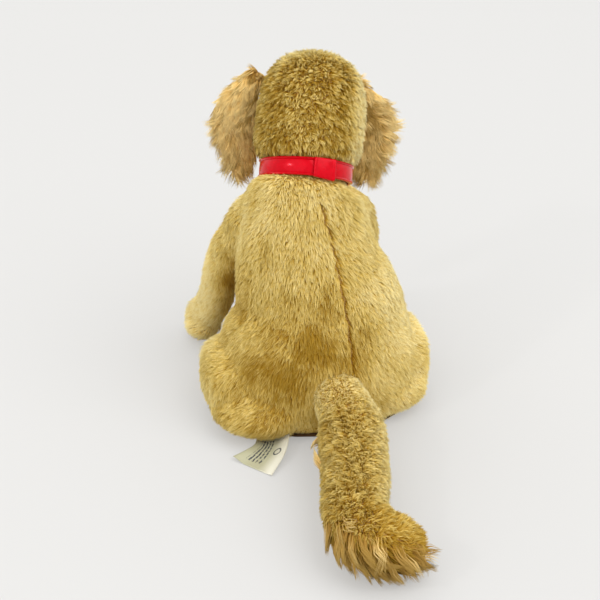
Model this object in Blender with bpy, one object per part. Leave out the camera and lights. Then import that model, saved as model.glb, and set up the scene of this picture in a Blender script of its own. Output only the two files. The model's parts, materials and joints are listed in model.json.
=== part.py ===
"""Sitting plush dog, as an assembly of sewn skins, stuffing, plastic fittings, collar and care label.

Units are metres, +Z is up, the dog faces -Y and its left side is +X. The origin is on the floor,
under the seat. A soft limb is a loft: elliptical cross-sections along a curved centre line.
"""

import math

import bmesh
import bpy
from mathutils import Euler, Matrix, Vector

# Fits between pieces
GAP = 0.0003  # two sewn pieces that touch
PLAY = 0.0008  # round a stuffed ball that turns in its socket
PILE = 0.0070  # fur fabric with its pile
SUEDE = 0.0022  # paw pads and soles
SEAT_FABRIC = 0.0040  # flat panel that the dog sits on

# Torso cross-sections: x, y, z, half width, half depth, forward lean of the section in degrees
TORSO = (
    (0, 0.0170, 0.0044, 0.0755, 0.0580, 0),
    (0, 0.0185, 0.0240, 0.0830, 0.0625, 0),
    (0, 0.0160, 0.0500, 0.0780, 0.0605, 2),
    (0, 0.0095, 0.0780, 0.0660, 0.0545, 6),
    (0.0010, 0.0030, 0.1060, 0.0540, 0.0490, 13),
    (0.0030, -0.0040, 0.1310, 0.0465, 0.0440, 22),
    (0.0050, -0.0099, 0.1524, 0.0390, 0.0385, 30),
)
BELLY_HALF_ARC = 42  # degrees each side of the front
POUCH_SIZE = (0.040, 0.034, 0.014)  # half width, half depth, height of the pouch of beans
POUCH_CENTRE_Y = 0.016

# Neck and collar, in a frame whose origin is the nod pivot and whose Z is the neck's axis
NECK_PIVOT = Vector((0.0050, -0.0099, 0.1524))
NECK_LEAN = math.radians(30)
NECK_ROLL = math.radians(-17)
NECK_BALL = 0.0240
NECK_POST = 0.0200
NECK_TOP = 0.0290
COLLAR_HEIGHT = 0.0210  # the strap's middle, above the pivot
STRAP_HALF_WIDTH = 0.0065
STRAP_THICKNESS = 0.0016
STRAP_INNER_RADIUS = 0.0320
STRAP_LAP = 0.0020  # how far out the free end rides over the fixed end
STRAP_START, STRAP_RISE, STRAP_OVER, STRAP_END = 85, 400, 440, 530  # degrees round the neck
KEEPER_ANGLE = 99

# Head, as radius and height above the nod pivot
HEAD_CENTRE_HEIGHT = 0.0656
HEAD_SIDES = (
    (0.0340, 0.0296),
    (0.0378, 0.0410),
    (0.0400, 0.0545),
    (0.0404, 0.0670),
    (0.0388, 0.0800),
    (0.0336, 0.0910),
)
HEAD_CROWN = (
    (0.0334, 0.0914),
    (0.0290, 0.0968),
    (0.0220, 0.1024),
    (0.0120, 0.1070),
    (0.0030, 0.1086),
)

HEAD_SIDES_ROUND = 10  # facets of half the head

# Face, in the upright frame at the head's centre
EYE_DIRECTION = Vector((0.42, -0.86, 0.20))
EYE_RADIUS = 0.0055
EYE_DEPTH = 0.0375  # distance of the eye's centre from the head's centre
MUZZLE = (
    (0, -0.024, -0.009, 0.0215, 0.0175),
    (0, -0.040, -0.010, 0.0215, 0.0165),
    (0, -0.054, -0.011, 0.0180, 0.0140),
    (0, -0.063, -0.011, 0.0110, 0.0090),
    (0, -0.0665, -0.011, 0.0040, 0.0030),
)
CHIN = (
    (0, -0.020, -0.022, 0.0130, 0.0080),
    (0, -0.036, -0.023, 0.0130, 0.0080),
    (0, -0.050, -0.022, 0.0100, 0.0065),
    (0, -0.056, -0.021, 0.0040, 0.0030),
)
NOSE = (
    (0, -0.0615, -0.0025, 0.0050, 0.0034),
    (0, -0.0650, -0.0030, 0.0078, 0.0052),
    (0, -0.0685, -0.0035, 0.0070, 0.0046),
    (0, -0.0705, -0.0040, 0.0030, 0.0020),
)

# Limbs of the left side: x, y, z, half width across, half depth
EAR = (
    (0.0380, -0.0280, 0.0140, 0.0050, 0.0030),
    (0.0460, -0.0280, 0.0040, 0.0120, 0.0050),
    (0.0535, -0.0280, -0.0110, 0.0160, 0.0055),
    (0.0575, -0.0280, -0.0290, 0.0165, 0.0055),
    (0.0570, -0.0280, -0.0460, 0.0130, 0.0050),
    (0.0550, -0.0280, -0.0600, 0.0050, 0.0030),
)
EAR_HANG = math.radians(10)  # the ears hang nearly plumb although the head tilts
CHEST_X = 0.0020  # the chest leans a little to the left of the seat
SHOULDER = Vector((0.0395, -0.0200, 0.1330))
SHOULDER_BALL = 0.0150
SHOULDER_WAIST = 0.0025  # how much thinner the filling is where it leaves the ball
FRONT_LEG = (
    (0.0535, -0.0300, 0.1210, 0.0125, 0.0165),
    (0.0575, -0.0410, 0.1020, 0.0135, 0.0190),
    (0.0595, -0.0580, 0.0740, 0.0155, 0.0190),
    (0.0610, -0.0745, 0.0460, 0.0160, 0.0180),
    (0.0635, -0.0890, 0.0240, 0.0170, 0.0175),
    (0.0640, -0.1010, 0.0165, 0.0165, 0.0145),
    (0.0635, -0.1110, 0.0125, 0.0095, 0.0080),
)
PAW_PAD = (0.0635, -0.0945, 0.0115, 0.0140)  # x, y, half width, half length
HIP = Vector((0.0560, 0.0150, 0.0360))
HIP_WELL = 0.0420
HAUNCH = (
    (0.0560, 0.0150, 0.0360, 0.0405, 0.0355),
    (0.0690, 0.0150, 0.0350, 0.0395, 0.0345),
    (0.0800, 0.0150, 0.0325, 0.0340, 0.0305),
    (0.0880, 0.0150, 0.0300, 0.0220, 0.0205),
    (0.0910, 0.0150, 0.0290, 0.0070, 0.0070),
)
HIND_FOOT = (
    (0.0720, -0.0140, 0.0180, 0.0080, 0.0105),
    (0.0650, -0.0330, 0.0170, 0.0090, 0.0110),
    (0.0500, -0.0490, 0.0160, 0.0105, 0.0115),
    (0.0350, -0.0620, 0.0155, 0.0110, 0.0120),
    (0.0270, -0.0790, 0.0155, 0.0120, 0.0120),
    (0.0255, -0.0910, 0.0145, 0.0070, 0.0080),
)
SOLE_PAD = (0.0280, -0.0760, 0.0085, 0.0125)

# Tail, from the rump backwards along the floor
TAIL_ROOT = Vector((0.0020, 0.0735, 0.0360))
TAIL_ROOT_BALL = 0.0180
TAIL_BEND = Vector((0.0225, 0.1580, 0.0275))
TAIL_BEND_BALL = 0.0245
TAIL_BASE = (
    (0.0030, 0.0915, 0.0345, 0.0215, 0.0215),
    (0.0055, 0.1050, 0.0325, 0.0250, 0.0245),
    (0.0110, 0.1210, 0.0295, 0.0260, 0.0250),
    (0.0170, 0.1400, 0.0280, 0.0255, 0.0250),
    (0.0225, 0.1580, 0.0275, 0.0245, 0.0245),
)
TAIL_TIP = (
    (0.0260, 0.1700, 0.0272, 0.0245, 0.0245),
    (0.0300, 0.1860, 0.0268, 0.0245, 0.0240),
    (0.0290, 0.2020, 0.0260, 0.0245, 0.0235),
    (0.0200, 0.2160, 0.0250, 0.0225, 0.0225),
    (0.0060, 0.2220, 0.0230, 0.0190, 0.0195),
    (-0.0060, 0.2220, 0.0210, 0.0100, 0.0110),
)

# Care label, a stiff satin strip from under the rump
LABEL_SEWN = Vector((0.0465, 0.0700, 0.0030))
LABEL_PATH = ((0.0, 0.0), (0.012, -0.0013), (0.023, -0.0020), (0.034, -0.0020))  # along, up
LABEL_HEADING = math.radians(48)
LABEL_HALF_WIDTH = 0.0150
LABEL_THICKNESS = 0.0004

FUR = (0.60, 0.42, 0.15)
EAR_FUR = (0.62, 0.38, 0.14)
LINING = (0.66, 0.47, 0.22)
SUEDE_COLOUR = (0.50, 0.33, 0.16)
FIBRE = (0.90, 0.89, 0.86)
RED = (0.72, 0.0, 0.02)
BLACK = (0.015, 0.012, 0.010)


def clear_scene():
    for obj in list(bpy.data.objects):
        bpy.data.objects.remove(obj, do_unlink=True)


def material(name, colour, roughness):
    made = bpy.data.materials.new(name)
    made.use_nodes = True
    shader = made.node_tree.nodes["Principled BSDF"]
    shader.inputs["Base Color"].default_value = (*colour, 1)
    shader.inputs["Roughness"].default_value = roughness
    shader.inputs["Metallic"].default_value = 0
    return made


def frame_empty(name, location, rotation, parent=None):
    empty = bpy.data.objects.new(name, None)
    empty.empty_display_size = 0.02
    empty.location = location
    empty.rotation_euler = rotation
    empty.parent = parent
    bpy.context.collection.objects.link(empty)
    return empty


def add_piece(name, bm, colour, roughness=0.9, origin=(0, 0, 0), parent=None):
    """One named object from a bmesh whose points are in the parent's frame."""
    bmesh.ops.translate(bm, verts=bm.verts, vec=-Vector(origin))
    bmesh.ops.recalc_face_normals(bm, faces=bm.faces)
    mesh = bpy.data.meshes.new(name)
    bm.to_mesh(mesh)
    bm.free()
    mesh.shade_smooth()
    mesh.set_sharp_from_angle(angle=math.radians(40))
    obj = bpy.data.objects.new(name, mesh)
    obj.location = origin
    obj.parent = parent
    bpy.context.collection.objects.link(obj)
    if colour is not None:
        mesh.materials.append(material(name, colour, roughness))
    return obj


def add_cutter(name, bm, parent=None):
    obj = add_piece(name, bm, None, parent=parent)
    obj.hide_render = True
    obj.display_type = "WIRE"
    return obj


def carve(obj, *cutters):
    for cutter in cutters:
        modifier = obj.modifiers.new(cutter.name, "BOOLEAN")
        modifier.operation = "DIFFERENCE"
        modifier.object = cutter


def carve_all(pieces, *cutters):
    for piece in pieces:
        carve(piece, *cutters)


def mirrored(stations, side, middle=0.0):
    """The same stations on the left (side 1) or right (side -1) of the middle."""
    return [(middle + side * station[0], *station[1:]) for station in stations]


def shrunk(stations, inset):
    """The same stations with both half sizes smaller by the inset."""
    return [(*s[:3], s[3] - inset, s[4] - inset, *s[5:]) for s in stations]


def smoothed(stations, rows):
    """A Catmull-Rom curve through every number of the stations, read at that many rows."""
    points = [stations[0], *stations, stations[-1]]
    made = []
    for row in range(rows):
        place = row / (rows - 1) * (len(stations) - 1)
        index = min(int(place), len(stations) - 2)
        t = place - index
        before, first, second, after = points[index : index + 4]
        made.append(
            tuple(
                b
                + 0.5 * t * (c - a + t * (2 * a - 5 * b + 4 * c - d + t * (3 * (b - c) + d - a)))
                for a, b, c, d in zip(before, first, second, after)
            )
        )
    return made


def section_normals(stations):
    """Each section's normal: its own lean where it has one, or else the centre line's direction."""
    if len(stations[0]) == 6:
        leans = [math.radians(station[5]) for station in stations]
        return [Vector((0, -math.sin(lean), math.cos(lean))) for lean in leans]
    centres = [Vector(station[:3]) for station in stations]
    ends = zip([centres[0], *centres[:-1]], [*centres[1:], centres[-1]])
    return [(after - before).normalized() for before, after in ends]


def rings(stations, sides, arc=(0, 360), inset=0.0, floor=None, facing=None):
    """Rows of points round each section, from one angle of the arc to the other.

    A section's width runs along X, or along Y where the sections all face the same way along X."""
    whole = arc[1] - arc[0] == 360
    count = sides if whole else sides + 1
    across = Vector((0, 1, 0)) if facing else Vector((1, 0, 0))
    normals = [facing] * len(stations) if facing else section_normals(stations)
    rows = []
    for station, normal in zip(stations, normals):
        centre = Vector(station[:3])
        u = (across - across.dot(normal) * normal).normalized()
        v = normal.cross(u)
        row = []
        for step in range(count):
            angle = math.radians(arc[0] + (arc[1] - arc[0]) * step / sides)
            width = (station[3] - inset) * math.cos(angle)
            depth = (station[4] - inset) * math.sin(angle)
            point = centre + u * width + v * depth
            if floor is not None:
                point.z = max(point.z, floor)
            row.append(point)
        rows.append(row)
    return rows


def skin_between(bm, first, second, closed):
    """Quads from one row of vertices to the next."""
    count = len(first)
    for i in range(count if closed else count - 1):
        j = (i + 1) % count
        bm.faces.new((first[i], first[j], second[j], second[i]))


def solid(rows):
    """A closed solid through rows of points, capped at both ends."""
    bm = bmesh.new()
    made = [[bm.verts.new(point) for point in row] for row in rows]
    for first, second in zip(made, made[1:]):
        skin_between(bm, first, second, closed=True)
    bm.faces.new(made[0])
    bm.faces.new(made[-1])
    return bm


def sleeve(outer_rows, inner_rows, closed=True, capped=False):
    """A wall between two surfaces. An open arc gets side walls, and a cap closes the last row."""
    bm = bmesh.new()
    outer = [[bm.verts.new(point) for point in row] for row in outer_rows]
    inner = [[bm.verts.new(point) for point in row] for row in inner_rows]
    for wall in (outer, inner):
        for first, second in zip(wall, wall[1:]):
            skin_between(bm, first, second, closed)
    skin_between(bm, outer[0], inner[0], closed)
    if capped:
        bm.faces.new(outer[-1])
        bm.faces.new(inner[-1])
    else:
        skin_between(bm, outer[-1], inner[-1], closed)
    if not closed:
        for side in (0, -1):
            edge = [row[side] for row in outer]
            back = [row[side] for row in inner]
            skin_between(bm, edge, back, closed=False)
    return bm


def turned(profile, sides):
    """Rows of a turned shape about Z, from radius and height pairs."""
    return rings([(0, 0, height, radius, radius, 0) for radius, height in profile], sides)


def ball_profile(radius, top, steps=6):
    """Radius and height pairs up a ball, from near its lowest point to the given latitude."""
    lowest = -82
    latitudes = [math.radians(lowest + (top - lowest) * i / steps) for i in range(steps + 1)]
    return [(radius * math.cos(a), radius * math.sin(a)) for a in latitudes]


def ball_end(centre, radius, towards, last=0, steps=4):
    """Stations of a round end, from its far pole to the last latitude, before a limb that runs towards."""
    direction = (Vector(towards) - centre).normalized()
    made = []
    for i in range(steps + 1):
        angle = math.radians(-78 + (last + 78) * i / steps)
        point = centre + direction * radius * math.sin(angle)
        made.append((*point, radius * math.cos(angle), radius * math.cos(angle)))
    return made


def ball(centre, radius):
    bm = bmesh.new()
    place = Matrix.Translation(centre)
    bmesh.ops.create_icosphere(bm, subdivisions=3, radius=radius, matrix=place)
    return bm


def pad(x, y, half_width, half_length, thickness):
    """A flat oval pad that stands on the floor."""
    edge = 0.0006
    profile = ((-edge, 0), (0, edge), (0, thickness - edge), (-edge, thickness))
    return solid(
        rings([(x, y, z, half_width + r, half_length + r, 0) for r, z in profile], sides=16)
    )


def ribbon(path, across, outward, half_width, thickness):
    """A flat strip along a path of points, with its outward direction at each."""
    rows = []
    for point, out in zip(path, outward):
        near = point - out * thickness / 2
        far = point + out * thickness / 2
        reach = across * half_width
        rows.append([near - reach, near + reach, far + reach, far - reach])
    return solid(rows)


def make_torso():
    """Seat, back, belly, stuffing and the pouch of beans. Returns what limbs' sockets are cut in."""
    rows = smoothed(TORSO, 10)
    seat = [(0, 0.0170, 0, 0.0560, 0.0480, 0), (0, 0.0170, SEAT_FABRIC, 0.0740, 0.0570, 0)]
    seat_panel = add_piece("seat_panel", solid(rings(seat, 28)), FUR)
    seam = 0.35  # degrees of arc that a seam's gap takes
    arcs = {
        "back_panel_left": (-90 + BELLY_HALF_ARC + seam, 90 - seam, 11),
        "back_panel_right": (90 + seam, 270 - BELLY_HALF_ARC - seam, 11),
        "belly_panel": (270 - BELLY_HALF_ARC, 270 + BELLY_HALF_ARC, 7),
    }
    skins = {}
    for name, (start, end, sides) in arcs.items():
        outer = rings(rows, sides, (start, end))
        inner = rings(rows, sides, (start, end), inset=PILE)
        skins[name] = add_piece(name, sleeve(outer, inner, closed=False), FUR)
    filling = rings(rows, 20, inset=PILE + 4 * GAP)
    stuffing = add_piece("torso_stuffing", solid(filling), FIBRE)
    half_width, half_depth, height = POUCH_SIZE
    base = TORSO[0][2] + GAP
    pouch_rows = [
        (0, POUCH_CENTRE_Y, base + height * share, half_width * scale, half_depth * scale, 0)
        for share, scale in ((0, 0.90), (0.3, 1.0), (0.7, 0.97), (1, 0.80))
    ]
    add_piece("bean_pouch", solid(rings(pouch_rows, 20)), LINING)
    well = [(0, POUCH_CENTRE_Y, -0.01), (0, POUCH_CENTRE_Y, base + height + PLAY)]
    well_rows = [(*centre, half_width + PLAY, half_depth + PLAY, 0) for centre in well]
    carve(stuffing, add_cutter("pouch_well", solid(rings(well_rows, 20))))
    return [*skins.values(), stuffing, seat_panel]


def make_neck(frame, torso_pieces):
    socket = add_cutter("neck_socket", ball(Vector((0, 0, 0)), NECK_BALL + PLAY), frame)
    carve_all(torso_pieces, socket)
    profile = [
        *ball_profile(NECK_BALL, top=20),
        (0.0218, 0.0112),
        (0.0238, 0.0138),
        (0.0238, NECK_TOP),
        (NECK_POST, NECK_TOP + GAP),
        (NECK_POST, HEAD_CENTRE_HEIGHT - 0.012),
    ]
    add_piece("neck_stuffing", solid(turned(profile, 20)), FIBRE, parent=frame)
    outer = ((0.0282, 0.0117), (0.0300, 0.0138), (0.0303, 0.0205), (0.0303, NECK_TOP))
    inner = [(radius - 0.006, height) for radius, height in outer]
    add_piece("neck_skin", sleeve(turned(outer, 20), turned(inner, 20)), FUR, parent=frame)


def make_collar(frame):
    """A flat strap whose free end laps over the fixed end and goes through a keeper loop."""
    path = []
    outward = []
    for angle in range(STRAP_START, STRAP_END + 1, 9):
        rise = min(max((angle - STRAP_RISE) / (STRAP_OVER - STRAP_RISE), 0), 1)
        radius = STRAP_INNER_RADIUS + STRAP_THICKNESS / 2 + STRAP_LAP * rise
        out = Vector((math.cos(math.radians(angle)), math.sin(math.radians(angle)), 0))
        path.append(out * radius + Vector((0, 0, COLLAR_HEIGHT)))
        outward.append(out)
    across = Vector((0, 0, 1))
    strap = ribbon(path, across, outward, STRAP_HALF_WIDTH, STRAP_THICKNESS)
    add_piece("collar_strap", strap, RED, 0.25, parent=frame)

    wall = 0.0009
    inside = (STRAP_INNER_RADIUS - GAP, STRAP_INNER_RADIUS + STRAP_LAP + STRAP_THICKNESS + GAP)
    outer_loop = loop_rows(inside[0] - wall, inside[1] + wall, STRAP_HALF_WIDTH + GAP + wall)
    inner_loop = loop_rows(inside[0], inside[1], STRAP_HALF_WIDTH + GAP)
    add_piece("collar_keeper", sleeve(outer_loop, inner_loop), RED, 0.25, parent=frame)


def loop_rows(near, far, half_height):
    """The keeper's sections, each a rectangle round the lapped strap."""
    rows = []
    for step in range(4):
        angle = math.radians(KEEPER_ANGLE + (step - 1.5) * 3.4)
        out = Vector((math.cos(angle), math.sin(angle), 0))
        low = Vector((0, 0, COLLAR_HEIGHT - half_height))
        high = Vector((0, 0, COLLAR_HEIGHT + half_height))
        rows.append([out * near + low, out * near + high, out * far + high, out * far + low])
    return rows


def make_head(frame, upright):
    """Side panels, crown and stuffing, then the eyes and the muzzle."""
    stations = smoothed([(0, 0, h, r, r, 0) for r, h in HEAD_SIDES], 7)
    seam = 0.4
    pieces = []
    for name, start, end in (
        ("head_side_left", -90 + seam, 90 - seam),
        ("head_side_right", 90 + seam, 270 - seam),
    ):
        outer = rings(stations, HEAD_SIDES_ROUND, (start, end))
        inner = rings(stations, HEAD_SIDES_ROUND, (start, end), inset=PILE)
        pieces.append(add_piece(name, sleeve(outer, inner, closed=False), FUR, parent=frame))
    under = [(max(r - PILE, 0.001), h - PILE * min(1, 1.4 - 40 * r)) for r, h in HEAD_CROWN]
    under[0] = (HEAD_CROWN[0][0] - PILE, HEAD_CROWN[0][1])
    crown_rows = turned(HEAD_CROWN, 2 * HEAD_SIDES_ROUND)
    lining_rows = turned(under, 2 * HEAD_SIDES_ROUND)
    crown = add_piece("head_crown", sleeve(crown_rows, lining_rows, capped=True), FUR, parent=frame)
    filling = [(width - PILE - 2 * GAP, h) for _, _, h, width, _, _ in stations]
    filling += [(max(r - 2 * GAP, 0.0008), h - GAP) for r, h in under[1:]]
    filled = solid(turned(filling, 2 * HEAD_SIDES_ROUND))
    stuffing = add_piece("head_stuffing", filled, FIBRE, parent=frame)
    bore = [(NECK_POST + PLAY, 0), (NECK_POST + PLAY, HEAD_CENTRE_HEIGHT - 0.011)]
    carve(stuffing, add_cutter("neck_bore", solid(turned(bore, 20)), frame))
    make_eyes(upright, [*pieces, crown, stuffing])
    make_muzzle(frame, upright, stations)


def make_eyes(upright, pieces):
    """Plastic eyes: a dome on a stem, held by a washer inside the skin."""
    for side, label in ((1, "left"), (-1, "right")):
        direction = Vector((side * EYE_DIRECTION.x, *EYE_DIRECTION.yz)).normalized()
        rotation = direction.to_track_quat("Z", "Y").to_euler()
        place = frame_empty(f"eye_frame_{label}", direction * EYE_DEPTH, rotation, upright)
        dome = ball_profile(EYE_RADIUS, top=82, steps=6)
        shank = [(0.0014, -0.0125), (0.0014, -0.0054)]
        eye = solid(turned([*shank, *dome[1:]], 14))
        add_piece(f"eye_{label}", eye, BLACK, 0.08, parent=place)
        washer_outer = turned([(0.0058, -0.0112), (0.0058, -0.0096)], 14)
        washer_inner = turned([(0.0017, -0.0112), (0.0017, -0.0096)], 14)
        washer = sleeve(washer_outer, washer_inner)
        add_piece(f"eye_washer_{label}", washer, FIBRE, 0.4, parent=place)
        pocket = [
            (0.0062, -0.0130),
            (0.0062, -0.0088),
            (0.0020, -0.0086),
            (0.0020, -0.0060),
            *[(r + 2 * GAP, h) for r, h in ball_profile(EYE_RADIUS, top=0, steps=5)[2:]],
            (EYE_RADIUS + 2 * GAP, 0.0090),
        ]
        cutter = add_cutter(f"eye_pocket_{label}", solid(turned(pocket, 14)), place)
        carve_all(pieces, cutter)


def make_muzzle(frame, upright, head_stations):
    """Muzzle, chin and nose, each sewn to the surface behind it."""
    head = [(width + 2 * GAP, h) for _, _, h, width, _, _ in head_stations]
    head += [(radius + 2 * GAP, height + GAP) for radius, height in HEAD_CROWN]
    head_cutter = add_cutter("head_cutter", solid(turned(head, 2 * HEAD_SIDES_ROUND)), frame)
    stations = smoothed(MUZZLE, 9)
    muzzle = add_piece("muzzle", solid(rings(stations, 20)), FUR, parent=upright)
    carve(muzzle, head_cutter)
    grown = rings(smoothed([(*s[:3], s[3] + GAP, s[4] + GAP) for s in MUZZLE], 9), 20)
    muzzle_cutter = add_cutter("muzzle_cutter", solid(grown), upright)
    chin = add_piece("chin", solid(rings(smoothed(CHIN, 6), 16)), FUR, parent=upright)
    carve(chin, head_cutter, muzzle_cutter)
    nose = add_piece("nose", solid(rings(smoothed(NOSE, 7), 14)), BLACK, 0.35, parent=upright)
    carve(nose, muzzle_cutter)


def make_ears(upright):
    """Each ear is an outer skin and a lining, sewn edge to edge, that hang from one hinge line."""
    for side, label in ((1, "left"), (-1, "right")):
        stations = smoothed(mirrored(EAR, side), 8)
        hinge = Vector(stations[0][:3])
        hang = Matrix.Rotation(EAR_HANG, 4, "Y")
        for name, arc, shift, colour in (
            (f"ear_outer_{label}", (180, 360), GAP, EAR_FUR),
            (f"ear_lining_{label}", (0, 180), -GAP, LINING),
        ):
            bm = solid(rings(stations, 8, arc))
            bmesh.ops.translate(bm, verts=bm.verts, vec=(0, shift, 0))
            bmesh.ops.rotate(bm, verts=bm.verts, cent=hinge, matrix=hang)
            add_piece(name, bm, colour, origin=hinge, parent=upright)


def make_front_legs(torso_pieces):
    for side, label in ((1, "left"), (-1, "right")):
        joint = Vector((CHEST_X + side * SHOULDER.x, *SHOULDER.yz))
        carve_all(torso_pieces, add_cutter(f"shoulder_{label}", ball(joint, SHOULDER_BALL + PLAY)))
        leg = mirrored(FRONT_LEG, side, CHEST_X)
        stations = smoothed(leg, 9)
        for name, arc in (("front", (1.5, 178.5)), ("back", (181.5, 358.5))):
            outer = rings(stations, 8, arc, floor=SUEDE + GAP)
            inner = rings(stations, 8, arc, inset=PILE, floor=SUEDE + GAP + 0.003)
            skin = sleeve(outer, inner, closed=False)
            add_piece(f"front_leg_{name}_{label}", skin, FUR, origin=joint)
        root = ball_end(joint, SHOULDER_BALL, leg[0][:3])
        waist = shrunk(stations[:1], PILE + SHOULDER_WAIST)
        core = [*root, *waist, *shrunk(stations[1:], PILE + 3 * GAP)]
        core_rows = rings(core, 16, floor=SUEDE + GAP + 0.0040)
        add_piece(f"front_leg_stuffing_{label}", solid(core_rows), FIBRE, origin=joint)
        x, y, half_width, half_length = PAW_PAD
        paw = pad(CHEST_X + side * x, y, half_width, half_length, SUEDE)
        add_piece(f"paw_pad_{label}", paw, SUEDE_COLOUR, origin=joint)


def make_hind_legs(torso_pieces):
    """Each hind leg is a round haunch in a flat well of the torso's side, and a foot before it."""
    for side, label in ((1, "left"), (-1, "right")):
        outwards = Vector((side, 0, 0))
        joint = Vector((side * HIP.x, *HIP.yz))
        reach = [(side * (HIP.x - 2 * GAP), *HIP.yz), (side * 0.11, *HIP.yz)]
        well = rings([(*centre, HIP_WELL, HIP_WELL) for centre in reach], 24, facing=outwards)
        carve_all(torso_pieces, add_cutter(f"hip_{label}", solid(well)))
        stations = smoothed(mirrored(HAUNCH, side), 8)
        outer = rings(stations, 18, floor=0.0010, facing=outwards)
        lining = rings(stations[:-1], 18, inset=PILE, floor=0.0080, facing=outwards)
        haunch = sleeve(outer[:-1], lining, capped=True)
        add_piece(f"haunch_{label}", haunch, FUR, origin=joint)
        core = rings(shrunk(stations[:-2], PILE + 2 * GAP), 18, floor=0.0086, facing=outwards)
        add_piece(f"haunch_stuffing_{label}", solid(core), FIBRE, origin=joint)
        grown = rings(shrunk(stations, -2 * GAP), 18, floor=0.0008, facing=outwards)
        foot = rings(smoothed(mirrored(HIND_FOOT, side), 8), 14, floor=SUEDE + GAP)
        piece = add_piece(f"hind_foot_{label}", solid(foot), FUR, origin=joint)
        carve(piece, add_cutter(f"haunch_cutter_{label}", solid(grown)))
        x, y, half_width, half_length = SOLE_PAD
        sole = pad(side * x, y, half_width, half_length, SUEDE)
        add_piece(f"sole_pad_{label}", sole, SUEDE_COLOUR, origin=joint)


def make_tail(torso_pieces):
    carve_all(torso_pieces, add_cutter("tail_socket", ball(TAIL_ROOT, TAIL_ROOT_BALL + PLAY)))
    bend = add_cutter("tail_bend_cutter", ball(TAIL_BEND, TAIL_BEND_BALL + PLAY))
    for segment, path, rows, joint in (
        ("base", TAIL_BASE, 8, TAIL_ROOT),
        ("tip", TAIL_TIP, 10, TAIL_BEND),
    ):
        stations = smoothed(path, rows)
        for name, arc in (("lower", (1, 179)), ("upper", (181, 359))):
            outer = rings(stations, 9, arc, floor=0.0006)
            inner = rings(stations, 9, arc, inset=PILE, floor=0.004)
            skin = sleeve(outer, inner, closed=False)
            piece = add_piece(f"tail_{segment}_{name}", skin, FUR, origin=joint)
            if segment == "tip":
                carve(piece, bend)
        core = shrunk(stations, PILE + 2 * GAP)
        if segment == "base":
            core = [*ball_end(TAIL_ROOT, TAIL_ROOT_BALL, TAIL_BASE[0][:3], 32), *core]
        filling = solid(rings(core, 18))
        piece = add_piece(f"tail_{segment}_stuffing", filling, FIBRE, origin=joint)
        if segment == "tip":
            carve(piece, bend)


def make_label():
    heading = Vector((math.sin(LABEL_HEADING), math.cos(LABEL_HEADING), 0))
    across = Vector((heading.y, -heading.x, 0))
    path = [LABEL_SEWN + heading * along + Vector((0, 0, up)) for along, up in LABEL_PATH]
    up = [Vector((0, 0, 1))] * len(path)
    label = ribbon(path, across, up, LABEL_HALF_WIDTH, LABEL_THICKNESS)
    add_piece("care_label", label, (0.85, 0.84, 0.78), 0.4, origin=LABEL_SEWN)


def main():
    clear_scene()
    torso_pieces = make_torso()
    rotation = Euler((NECK_LEAN, NECK_ROLL, 0))
    neck = frame_empty("neck_frame", NECK_PIVOT, rotation)
    centre = (0, 0, HEAD_CENTRE_HEIGHT)
    upright = frame_empty("head_frame", centre, Euler((-NECK_LEAN, 0, 0)), neck)
    make_neck(neck, torso_pieces)
    make_collar(neck)
    make_head(neck, upright)
    make_ears(upright)
    make_front_legs(torso_pieces)
    make_hind_legs(torso_pieces)
    make_tail(torso_pieces)
    make_label()


main()
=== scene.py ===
import json
import math

import bmesh
import bpy
import numpy as np
from mathutils import Matrix, Vector
from mathutils.kdtree import KDTree


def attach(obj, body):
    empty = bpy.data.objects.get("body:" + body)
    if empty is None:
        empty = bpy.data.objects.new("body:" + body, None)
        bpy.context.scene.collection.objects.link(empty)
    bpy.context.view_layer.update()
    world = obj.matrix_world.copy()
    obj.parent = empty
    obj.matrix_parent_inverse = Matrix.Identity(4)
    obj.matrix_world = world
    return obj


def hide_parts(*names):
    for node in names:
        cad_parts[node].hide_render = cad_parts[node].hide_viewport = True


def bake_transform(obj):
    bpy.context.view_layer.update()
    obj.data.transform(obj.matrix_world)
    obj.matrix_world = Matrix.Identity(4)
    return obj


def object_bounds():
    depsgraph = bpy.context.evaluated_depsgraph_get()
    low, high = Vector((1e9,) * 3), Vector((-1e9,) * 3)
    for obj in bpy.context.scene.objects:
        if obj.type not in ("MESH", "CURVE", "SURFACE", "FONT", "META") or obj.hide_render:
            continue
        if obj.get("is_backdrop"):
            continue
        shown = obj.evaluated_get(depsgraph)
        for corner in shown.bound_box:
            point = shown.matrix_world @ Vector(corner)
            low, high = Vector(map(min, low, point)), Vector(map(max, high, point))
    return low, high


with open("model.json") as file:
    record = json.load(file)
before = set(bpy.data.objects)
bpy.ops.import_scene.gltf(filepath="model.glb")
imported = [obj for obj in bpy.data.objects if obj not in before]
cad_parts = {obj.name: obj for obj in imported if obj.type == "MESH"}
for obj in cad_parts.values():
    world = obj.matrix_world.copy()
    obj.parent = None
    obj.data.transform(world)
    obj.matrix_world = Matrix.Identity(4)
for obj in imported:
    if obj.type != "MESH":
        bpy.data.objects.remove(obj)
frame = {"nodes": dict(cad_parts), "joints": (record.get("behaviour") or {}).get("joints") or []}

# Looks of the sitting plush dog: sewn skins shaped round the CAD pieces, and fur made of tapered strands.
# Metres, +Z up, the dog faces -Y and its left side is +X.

CAD_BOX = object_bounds()
JOINTS = {joint["name"]: joint for joint in frame["joints"]}
SIDES = (("left", 1), ("right", -1))

# The camera stands round AIM, and looks a little left of it and below it
AIM = Vector((0.0, 0.02, 0.1))
CAMERA_AZIMUTH = math.radians(163)
CAMERA_ELEVATION = math.radians(30)
CAMERA_DISTANCE = 1.0
LENS = 83.3
LOOK_LEFT = 0.0144
LOOK_DOWN = 0.0122
TO_CAMERA = np.array(
    [
        math.sin(CAMERA_AZIMUTH) * math.cos(CAMERA_ELEVATION),
        -math.cos(CAMERA_AZIMUTH) * math.cos(CAMERA_ELEVATION),
        math.sin(CAMERA_ELEVATION),
    ]
)

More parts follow.
